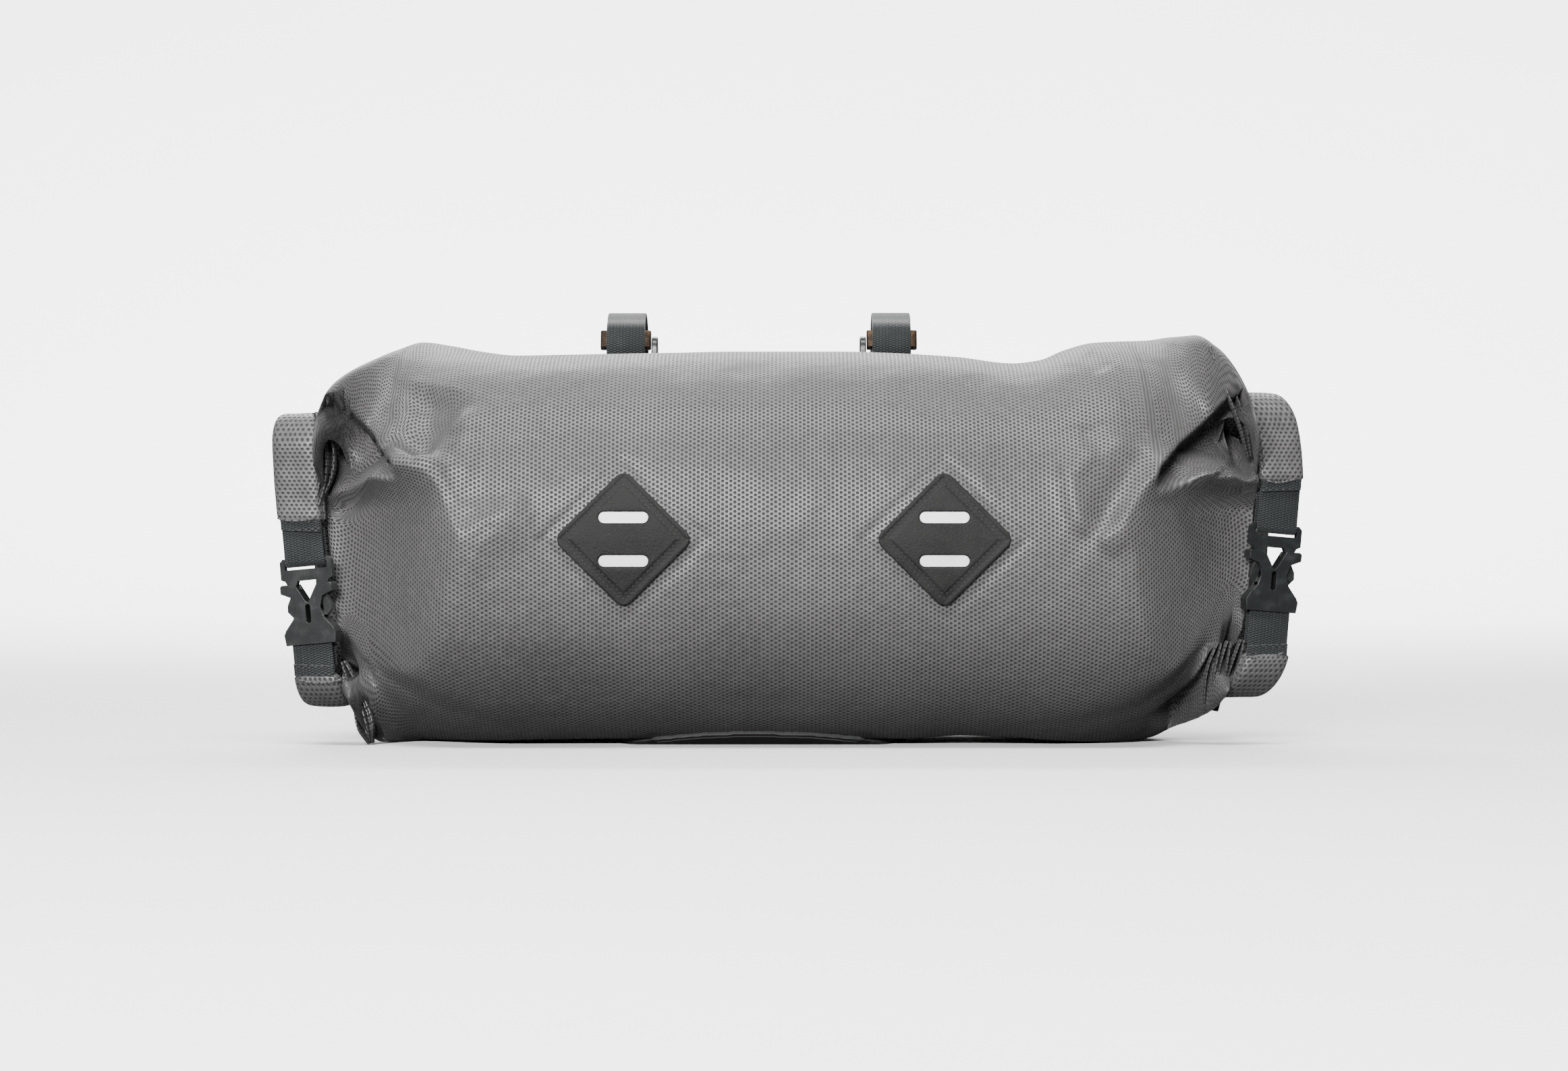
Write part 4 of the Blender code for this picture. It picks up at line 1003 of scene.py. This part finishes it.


# Painted shade: the folds and pleats wear a darker copy of the coated cloth.
fold_cloth_painted_shade = cloth_finish("fold_cloth_painted_shade", FOLD_PAINTED_SHADE)
for name, (line, deep, gap) in FOLDS.items():
    shares, path = eased_line([from_photo(x, y, depth / 1000) for x, y, depth in line], FOLD_STEPS)
    sections = [fold_section(gap / 1000 * (0.18 + 0.82 * math.sin(math.pi * t) ** 0.8),
                             deep / 1000 * (0.6 + 0.4 * math.sin(math.pi * t))) for t in shares]
    fold = swept_section(name, path, sections, fold_cloth_painted_shade)
    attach(fold, "root")
for name, line in CUT_EDGES.items():
    shares, path = eased_line([from_photo(x, y, depth / 1000) for x, y, depth in line], CUT_STEPS)
    sections = []
    for t in shares:
        fray = 1 + sum(depth * math.sin(turns * t + start) for depth, turns, start in FRAYS)
        size = CUT_RADIUS * fray * (0.5 + 0.5 * min(1.0, 12 * min(t, 1 - t)))
        angles = [2 * math.pi * k / CUT_AROUND for k in range(CUT_AROUND)]
        sections.append(np.array([(size * math.cos(a), 0.8 * size * math.sin(a)) for a in angles]))
    edge = swept_section(name, path, sections, coated_cloth)
    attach(edge, "root")

# Side-release buckles
# Moulded acetal in two halves, matt with worn brighter spots here and there. The plug's arms snap into the
# socket, whose V mouth, slot and side windows show.

BUCKLE_EDGE = 0.00055
HARD_EDGE = math.radians(35)
SHARP_EDGE = math.radians(40)
ACETAL = (0.007, 0.0082, 0.0085)
ACETAL_WORN = (0.017, 0.019, 0.019)


def remade(node, name, bevel, material):
    """A node's shape copied to a new piece whose hard edges are rounded off."""
    data = bmesh.new()
    data.from_mesh(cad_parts[node].data)
    bmesh.ops.remove_doubles(data, verts=data.verts, dist=2e-6)
    bmesh.ops.dissolve_limit(data, angle_limit=math.radians(1.0), verts=data.verts, edges=data.edges)
    mesh = bpy.data.meshes.new(name)
    data.to_mesh(mesh)
    data.free()
    mesh.materials.clear()
    mesh.materials.append(material)
    item = placed(name, mesh)
    soften = item.modifiers.new("rounded edges", "BEVEL")
    soften.width = bevel
    soften.segments = 3
    soften.limit_method = "ANGLE"
    soften.angle_limit = HARD_EDGE
    soften.harden_normals = True
    mesh.shade_smooth()
    mesh.set_sharp_from_angle(angle=SHARP_EDGE)
    return item


def plastic_finish():
    """Moulded acetal with a fine grain, lighter where it is worn."""
    finish = Finish("buckle_acetal", Specular_IOR_Level=0.5)
    wear = finish.cloud(0.006, 3.0)
    return finish.feed(Base_Color=finish.mix(wear.steps(0.45, 0.75), ACETAL, ACETAL_WORN),
                       Roughness=0.24 + wear * 0.16,
                       Normal=finish.bump(finish.cloud(0.0006, 2.0), 0.00004))


buckle_plastic = plastic_finish()
for mouth_name in MOUTHS:
    for half in ("plug", "socket"):
        node = f"buckle_{half}_{mouth_name}"
        piece = remade(node, f"moulded_{half}_{mouth_name}", BUCKLE_EDGE, buckle_plastic)
        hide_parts(node)
        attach(piece, "root")

# Diamond patches
# Two diamonds of black synthetic leather, each sewn on through two parallel rows of stitches
# and slotted twice, so that a strip of white reflective tape behind it shows in the slots.

PATCH_CORNER = 0.0050
PATCH_THICK = 0.0016
BAR_LENGTH = 0.0224
BAR_WIDTH = 0.0052
BAR_SPACING = 0.0196
BAR_SUNK = 0.0005
STITCH_ROWS = (0.0026, 0.0046)
STITCH_PITCH = 0.0023
STITCH_LENGTH = 0.0017
STITCH_RADIUS = 0.00024
STITCH_SUNK = 0.00008
PATCH_EDGE = 0.00045
TAPE_EDGE = 0.0002
PATCH_CROWN = 0.0006
PLATE_CELL = 0.0022
LEATHER = (0.0072, 0.0070, 0.0068)
LEATHER_DUSTY = (0.0140, 0.0136, 0.0133)
LEATHER_RUBBED = (0.027, 0.027, 0.026)
TAPE = (0.88, 0.89, 0.91)
TAPE_SOILED = (0.72, 0.72, 0.73)
THREAD = (0.006, 0.006, 0.006)


def body_front(x, height):
    """Depth of the cloth's front at a place along the bag and a height."""
    hit, place, _, _ = body_cloth.ray_cast(Vector((x, -0.4, height)), Vector((0, 1, 0)))
    return place.y if hit else -BAG_DEPTH / 2


def rounded_polygon(corners, radius, steps=6):
    """Outline of straight sides joined by arcs that touch them."""
    outline = []
    count = len(corners)
    for index in range(count):
        before, here, after = (Vector(corners[(index + k) % count]) for k in (-1, 0, 1))
        to_before, to_after = (before - here).normalized(), (after - here).normalized()
        half_angle = to_before.angle(to_after) / 2
        inset = radius / math.tan(half_angle)
        centre = here + (to_before + to_after).normalized() * (radius / math.sin(half_angle))
        first = here + to_before * inset - centre
        sweep = first.angle_signed(here + to_after * inset - centre)
        for step in range(steps + 1):
            turned = first.copy()
            turned.rotate(Matrix.Rotation(-sweep * step / steps, 2))
            outline.append(tuple(centre + turned))
    return outline


def pill(length, width, height, steps=10):
    """Outline of a bar with round ends."""
    radius, outline = width / 2, []
    for side, start in ((1, -math.pi / 2), (-1, math.pi / 2)):
        for step in range(steps + 1):
            angle = start + math.pi * step / steps
            outline.append((side * (length / 2 - radius) + radius * math.cos(angle),
                            height + radius * math.sin(angle)))
    return outline


def patch_crown(x, z):
    """How far a patch swells at a place measured from its middle."""
    return PATCH_CROWN * max(0.0, 1 - (abs(x) + abs(z)) / patch_reach)


def laid_plate(name, outlines, thickness, bevel, centre_x, lift, material):
    """A flat piece with holes, its edges rounded, cut into small faces and laid on the cloth."""
    curve = bpy.data.curves.new(name, "CURVE")
    curve.dimensions = "2D"
    curve.fill_mode = "BOTH"
    curve.extrude = thickness / 2 - bevel
    curve.bevel_depth = bevel
    curve.bevel_resolution = 2
    curve.offset = -bevel
    for outline in outlines:
        spline = curve.splines.new("POLY")
        spline.points.add(len(outline) - 1)
        for point, (x, z) in zip(spline.points, outline):
            point.co = (x, z, 0.0, 1.0)
        spline.use_cyclic_u = True
    drawn = placed(name + "_outline", curve)
    bpy.context.view_layer.update()
    solid = drawn.evaluated_get(bpy.context.evaluated_depsgraph_get())
    mesh = bpy.data.meshes.new_from_object(solid)
    bpy.data.objects.remove(drawn, do_unlink=True)
    plate = bmesh.new()
    plate.from_mesh(mesh)
    bmesh.ops.remove_doubles(plate, verts=plate.verts, dist=1e-6)
    bmesh.ops.rotate(plate, verts=plate.verts, matrix=Matrix.Rotation(math.pi / 2, 3, "X"))
    for axis in (0, 2):
        values = [vert.co[axis] for vert in plate.verts]
        low, high = min(values), max(values)
        cuts = max(1, math.ceil((high - low) / PLATE_CELL))
        for index in range(1, cuts):
            place, way = Vector(), Vector()
            place[axis], way[axis] = low + (high - low) * index / cuts, 1.0
            bmesh.ops.bisect_plane(plate, geom=plate.verts[:] + plate.edges[:] + plate.faces[:],
                                   plane_co=place, plane_no=way, dist=1e-7)
    for vert in plate.verts:
        x, height = vert.co.x + centre_x, vert.co.z + PATCH_HEIGHT
        out = lift + patch_crown(vert.co.x, vert.co.z)
        vert.co = (x, body_front(x, height) - out + vert.co.y, height)
    bmesh.ops.recalc_face_normals(plate, faces=plate.faces)
    plate.to_mesh(mesh)
    plate.free()
    mesh.materials.clear()
    mesh.materials.append(material)
    mesh.shade_smooth()
    mesh.set_sharp_from_angle(angle=math.radians(60))
    return placed(name, mesh)


def leather_finish(centre_x):
    """Pebbled black leather, pressed in along its stitch rows and lightly covered in dust."""
    finish = Finish("patch_leather", Specular_IOR_Level=0.22)
    x, _, z = finish.split(finish.place())
    reach = (abs(x - centre_x) + abs(z - PATCH_HEIGHT)) / math.sqrt(2)
    pebbles = finish.node("ShaderNodeTexVoronoi", {"feature": "SMOOTH_F1"},
                          {"Vector": finish.place(), "Scale": 1100.0, "Smoothness": 0.6})
    fine = finish.cloud(0.0011, 3.0)
    tone = finish.cloud(0.013, 3.0)
    groove = abs(reach - (PATCH_SIDE / 2 - sum(STITCH_ROWS) / 2)).steps(0.0006, 0.0026)
    base = finish.mix(tone.steps(0.35, 0.7), LEATHER, LEATHER_DUSTY)
    tint = finish.mix(fine.steps(0.55, 0.8) * 0.6, base, LEATHER_RUBBED)
    grain = finish.bump(pebbles * 0.7 + fine * 0.3, 0.00016)
    return finish.feed(Base_Color=tint, Roughness=0.58 + tone * 0.2,
                       Normal=finish.bump(groove, 0.00045, grain))


def tape_finish():
    """White reflective tape of fine glass beads."""
    finish = Finish("reflective_tape", Specular_IOR_Level=0.6)
    beads = finish.node("ShaderNodeTexVoronoi", {}, {"Vector": finish.place(), "Scale": 2600.0})
    soil = finish.cloud(0.006, 3.0)
    tint = finish.mix(soil.steps(0.5, 0.85) * 0.5, TAPE, TAPE_SOILED)
    return finish.feed(Base_Color=tint, Roughness=0.34 + soil * 0.15,
                       Normal=finish.bump(beads, 0.00005))


def thread_finish(name, base):
    """Twisted thread."""
    finish = Finish(name, Roughness=0.6)
    twist = finish.cloud(0.0005, 1.0)
    return finish.feed(Base_Color=finish.mix(twist, base, [2.2 * c for c in base]))


def stitch_row(points, spacing, length, radius, surface, name, material):
    """Short rounded stitches along a closed or open line of (x, z), lying on a surface."""
    line = np.array(points)
    starts = run_lengths(line)
    count = int(starts[-1] / spacing)
    data = bmesh.new()
    for k in range(count):
        middle = (k + 0.5) * starts[-1] / count
        ends = [Vector(surface(*(np.interp(middle + side * length / 2, starts, line[:, axis])
                                 for axis in (0, 1)))) for side in (-1, 1)]
        way = (ends[1] - ends[0]).normalized()
        turn = way.to_track_quat("Z", "Y").to_matrix().to_4x4()
        made = bmesh.ops.create_uvsphere(data, u_segments=8, v_segments=6, radius=radius)
        stretch = Matrix.Diagonal((1.0, 1.0, length / (2 * radius), 1.0))
        place = Matrix.Translation((ends[0] + ends[1]) / 2) @ turn @ stretch
        bmesh.ops.transform(data, matrix=place, verts=made["verts"])
    mesh = bpy.data.meshes.new(name)
    data.to_mesh(mesh)
    data.free()
    mesh.materials.append(material)
    mesh.shade_smooth()
    return placed(name, mesh)


tape = tape_finish()
dark_thread = thread_finish("dark_thread", THREAD)
patch_reach = PATCH_SIDE / math.sqrt(2)
diamond = [(0, patch_reach), (patch_reach, 0), (0, -patch_reach), (-patch_reach, 0)]
for mouth_name, mouth in MOUTHS.items():
    centre_x = mouth["side"] * PATCH_SPACING / 2
    levels = (BAR_SPACING / 2, -BAR_SPACING / 2)
    slots = [pill(BAR_LENGTH + 2 * GAP, BAR_WIDTH + 2 * GAP, level) for level in levels]
    lift = 2 * GAP + PATCH_THICK / 2
    patch = laid_plate(f"diamond_patch_{mouth_name}", [rounded_polygon(diamond, PATCH_CORNER)] + slots,
                       PATCH_THICK, PATCH_EDGE, centre_x, lift, leather_finish(centre_x))
    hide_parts(f"patch_{mouth_name}")
    pieces = [(patch, "black_leather")]
    for label, level in zip(("upper", "lower"), levels):
        strip = laid_plate(f"tape_{label}_{mouth_name}", [pill(BAR_LENGTH, BAR_WIDTH, level)],
                           PATCH_THICK - BAR_SUNK, TAPE_EDGE, centre_x, lift - BAR_SUNK / 2, tape)
        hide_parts(f"patch_bar_{label}_{mouth_name}")
        pieces.append((strip, "reflective_white"))

    def patch_top(x, z):
        place = (x + centre_x, z + PATCH_HEIGHT)
        out = 2 * GAP + PATCH_THICK + patch_crown(x, z) - STITCH_SUNK
        return place[0], body_front(*place) - out, place[1]

    for number, inset in enumerate(STITCH_ROWS):
        scale = (patch_reach - inset * math.sqrt(2)) / patch_reach
        line = rounded_polygon([(scale * x, scale * z) for x, z in diamond], PATCH_CORNER - inset * 0.8)
        stitches = stitch_row(line + line[:1], STITCH_PITCH, STITCH_LENGTH, STITCH_RADIUS, patch_top,
                              f"patch_stitches_{number}_{mouth_name}", dark_thread)
        pieces.append((stitches, "black_leather"))
    for item, slot in pieces:
        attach(item, "root")

# Back panel
# A stiff sheet coated black, bound round its edge with a folded tape, under the bag and up
# its back. It keeps the bag's shape and carries the handlebar straps.

PANEL_THICK = 0.0024
PANEL_WIDTH = 0.138
PANEL_CORNER = 0.022
PANEL_TOP_CORNER = 0.006
PANEL_LIP = 0.0056
PANEL_LIP_HALF = 0.064
STRAP_CENTRE = -0.0123
PANEL_COLUMNS = 60
PANEL_ROWS = 90
PANEL_BLACK = (0.0085, 0.0085, 0.009)
PANEL_RUBBED = (0.017, 0.017, 0.018)
BINDING_RADIUS = 0.0014
BINDING_DARK = (0.008, 0.008, 0.009)
BINDING_LIGHT = (0.022, 0.023, 0.024)


def body_outline(x):
    """The cloth's outline across the bag at a place along it."""
    places = body_points[:, 0, 0]
    after = int(np.searchsorted(places, x))
    share = (x - places[after - 1]) / (places[after] - places[after - 1])
    return (body_points[after - 1] * (1 - share) + body_points[after] * share)[:, 1:]


def back_curve(x, offset):
    """From under the bag's front up its back, moved outwards by an offset, with its lengths."""
    loop = body_outline(x)
    loop = np.concatenate((loop[-CLOTH_FRONT // 2:], loop[:CLOTH_BACK + 1]))
    ways = np.gradient(loop, axis=0)
    ways /= np.linalg.norm(ways, axis=1, keepdims=True)
    points = loop + np.stack((ways[:, 1], -ways[:, 0]), axis=1) * offset
    return points, run_lengths(points)


def curve_point(curve, length):
    points, lengths = curve
    return [float(np.interp(length, lengths, points[:, axis])) for axis in (0, 1)]


def corner_inset(across, half, radius):
    into = max(0.0, across - (half - radius))
    return radius - math.sqrt(max(0.0, radius ** 2 - into ** 2))


panel_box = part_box("back_panel")
strap_boxes = {side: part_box(f"bar_strap_{side}") for side in ("left", "right")}


def panel_ends(curve, across):
    """Lengths at which the panel starts, a little way up the front, and ends below the bag's top."""
    points, lengths = curve
    lip = PANEL_LIP * max(0.0, 1 - (across / PANEL_LIP_HALF) ** 2)
    under = (points[:, 0] > panel_box[0][1]) | (points[:, 1] < lip)
    first = lengths[np.argmax(under)]
    back = (points[:, 0] > 0) & (points[:, 1] > panel_box[1][2])
    return first, lengths[np.argmax(back)]


def panel_finish():
    """Black coated sheet with a faint cross grain and rubbed spots."""
    finish = Finish("panel_coating", Specular_IOR_Level=0.45)
    x, _, z = finish.split(finish.place())
    grain = (x * 5200).sine() * (z * 5200).sine()
    tone = finish.cloud(0.03, 4.0)
    tint = finish.mix(tone.steps(0.4, 0.7), PANEL_BLACK, PANEL_RUBBED)
    return finish.feed(Base_Color=tint, Roughness=0.42 + tone * 0.25,
                       Normal=finish.bump(grain, 0.00006, finish.bump(finish.cloud(0.02), 0.0006)))


panel_coating = panel_finish()
half = PANEL_WIDTH / 2
outer_rows, inner_rows = [], []
for rows, offset in ((outer_rows, GAP + PANEL_THICK), (inner_rows, GAP)):
    columns = []
    for k in range(PANEL_COLUMNS + 1):
        across = -half * math.cos(math.pi * k / PANEL_COLUMNS)
        curve = back_curve(STRAP_CENTRE + across, offset)
        first, last = panel_ends(curve, across)
        first += corner_inset(abs(across), half, PANEL_CORNER)
        last -= corner_inset(abs(across), half, PANEL_TOP_CORNER)
        places = [first + (last - first) * n / PANEL_ROWS for n in range(PANEL_ROWS + 1)]
        columns.append([(STRAP_CENTRE + across, *curve_point(curve, place)) for place in places])
    rows += [list(row) for row in zip(*columns)]
verts, faces = [], []
width = PANEL_COLUMNS + 1
for rows in (outer_rows, inner_rows):
    verts += [(x, y, max(z, 0.0)) for row in rows for x, y, z in row]
sheet = (PANEL_ROWS + 1) * width
for n in range(PANEL_ROWS):
    for k in range(PANEL_COLUMNS):
        a = n * width + k
        faces.append((a, a + width, a + width + 1, a + 1))
        faces.append(tuple(sheet + v for v in (a + 1, a + width + 1, a + width, a)))
rim = ([k for k in range(width)] + [n * width + PANEL_COLUMNS for n in range(1, PANEL_ROWS + 1)]
       + [PANEL_ROWS * width + k for k in range(PANEL_COLUMNS - 1, -1, -1)]
       + [n * width for n in range(PANEL_ROWS - 1, 0, -1)])
for a, b in zip(rim, rim[1:] + rim[:1]):
    faces.append((a, b, b + sheet, a + sheet))
stiff_panel = mesh_object("stiff_panel", verts, faces, panel_coating)
outward(stiff_panel, 50)
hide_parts("back_panel")
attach(stiff_panel, "root")

# Edge binding: a narrow woven tape folded over the panel's rim and sewn through.
binding_points = [Vector(verts[a]).lerp(Vector(verts[a + sheet]), 0.5) for a in rim]
binding_curve = bpy.data.curves.new("panel_binding", "CURVE")
binding_curve.dimensions = "3D"
binding_curve.bevel_depth = BINDING_RADIUS
binding_curve.bevel_resolution = 3
spline = binding_curve.splines.new("POLY")
spline.points.add(len(binding_points) - 1)
for point, place in zip(spline.points, binding_points):
    point.co = (place.x, place.y, max(place.z, BINDING_RADIUS), 1.0)
spline.use_cyclic_u = True
panel_binding = placed("panel_binding", binding_curve)


def binding_finish():
    """Woven tape with fine ribs."""
    finish = Finish("binding_tape", Roughness=0.75, Sheen_Weight=0.2)
    ribs = (finish.split(finish.place())[0] * 6000).sine() * 0.5 + 0.5
    return finish.feed(Base_Color=finish.mix(ribs, BINDING_DARK, BINDING_LIGHT))


binding_curve.materials.append(binding_finish())
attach(panel_binding, "root")

# Handlebar straps
# Two loops of 19 mm webbing sewn flat to the panel and doubled back on themselves. Each
# passes through a dark bronze frame in front of the bar, with a rounded cheek beside it.

STRAP_SPACING = 0.1296
STRAP_THICK = 0.0016
HANDLEBAR_HOLE = 0.0350
STRAP_LEG = 0.060
# Steps of the strap's leg, of its turn round the bar, of its doubled end and of its front layer
LEG_STEPS, TURN_STEPS, END_STEPS, LAYER_STEPS = 24, 64, 16, 40
# The front layer goes from one angle over the bar to another and stands out over the frame
LAYER_FROM = 100
LAYER_SWEEP = 132
FRAME_ANGLE = math.radians(20)
FRAME_SPREAD = math.radians(26)
FRAME_RISE = 0.0046 * 0.62
FRAME_EDGE = 0.0007
CHEEK_EDGE = 0.0006
BRONZE = (0.030, 0.021, 0.015)
BRONZE_RUBBED = (0.085, 0.052, 0.030)
strap_webbing = webbing_finish("strap_weave", (0.010, 0.0135, 0.014), (0.019, 0.0245, 0.025))


def bar_centre(loop_box):
    """Middle of the handlebar's hole in a loop, and the radius of the strap's own line round it."""
    radius = HANDLEBAR_HOLE / 2 + STRAP_THICK / 2
    return Vector(corner - radius - STRAP_THICK / 2 for corner in loop_box[1][1:]), radius


def strap_path(x, loop_box):
    """Up the panel, round the handlebar and down over itself, in (y, z)."""
    centre, _ = bar_centre(loop_box)
    first_layer = back_curve(x, GAP + PANEL_THICK + GAP + STRAP_THICK / 2)
    second_layer = back_curve(x, GAP + PANEL_THICK + 2 * GAP + STRAP_THICK * 1.5)
    points, lengths = first_layer
    upper = (points[:, 0] > 0) & (points[:, 1] > 0.1)
    reach = np.where(upper, np.hypot(points[:, 0] - centre.x, points[:, 1] - centre.y), 9.0)
    seat = lengths[int(np.argmin(reach))]
    foot = Vector(curve_point(first_layer, seat))
    radius = (foot - centre).length
    shut = math.acos(1 - (STRAP_THICK + GAP) / radius)
    path = [curve_point(first_layer, seat - STRAP_LEG * (1 - k / LEG_STEPS)) for k in range(LEG_STEPS)]
    for step in range(TURN_STEPS + 1):
        angle = (2 * math.pi - shut) * step / TURN_STEPS
        path.append(list(centre + Matrix.Rotation(angle, 2) @ (foot - centre)))
    below = seat - radius * math.sin(shut) - 0.004
    stop = seat - STRAP_LEG * 0.7
    return path + [curve_point(second_layer, below + (stop - below) * k / END_STEPS)
                   for k in range(END_STEPS + 1)]


for side_name, side in (("left", -1), ("right", 1)):
    x = STRAP_CENTRE + side * STRAP_SPACING / 2
    strap = swept_strap(f"handlebar_strap_{side_name}", strap_path(x, strap_boxes[side_name]),
                        Matrix.Translation((x, 0, 0)), WEBBING_WIDTH, STRAP_THICK, strap_webbing)
    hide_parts(f"bar_strap_{side_name}")
    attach(strap, "root")


# The end of each strap comes back over the frame and hides its front bar.
for side_name, side in (("left", -1), ("right", 1)):
    x = STRAP_CENTRE + side * STRAP_SPACING / 2
    centre, radius = bar_centre(strap_boxes[side_name])
    path = []
    for k in range(LAYER_STEPS + 1):
        angle = math.radians(LAYER_FROM - LAYER_SWEEP * k / LAYER_STEPS)
        over = math.exp(-((angle - FRAME_ANGLE) / FRAME_SPREAD) ** 4)
        reach = radius + STRAP_THICK * 1.02 + FRAME_RISE * over
        path.append((centre.x - reach * math.cos(angle), centre.y + reach * math.sin(angle)))
    layer = swept_strap(f"strap_front_layer_{side_name}", path, Matrix.Translation((x, 0, 0)),
                        WEBBING_WIDTH * 0.985, STRAP_THICK, strap_webbing, (0.0, 0.03 * side))
    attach(layer, "root")


def bronze_finish():
    """Dark bronze wire and plate, brighter where it is rubbed."""
    finish = Finish("dark_bronze", Metallic=0.9)
    wear = finish.cloud(0.004, 4.0)
    return finish.feed(Base_Color=finish.mix(wear.steps(0.45, 0.7), BRONZE, BRONZE_RUBBED),
                       Roughness=0.36 + wear * 0.2,
                       Normal=finish.bump(finish.cloud(0.0008), 0.00003))


dark_bronze = bronze_finish()
for side_name in ("left", "right"):
    for node, name, bevel, material, slot in (
            ("strap_keeper", "bronze_frame", FRAME_EDGE, dark_bronze, "dark_metal"),
            ("strap_cheek", "strap_end_cheek", CHEEK_EDGE, buckle_plastic, "black_plastic")):
        piece = remade(f"{node}_{side_name}", f"{name}_{side_name}", bevel, material)
        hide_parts(f"{node}_{side_name}")
        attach(piece, "root")

size = {"cad": [list(corner) for corner in cad_box], "visual": [list(corner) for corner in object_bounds()]}
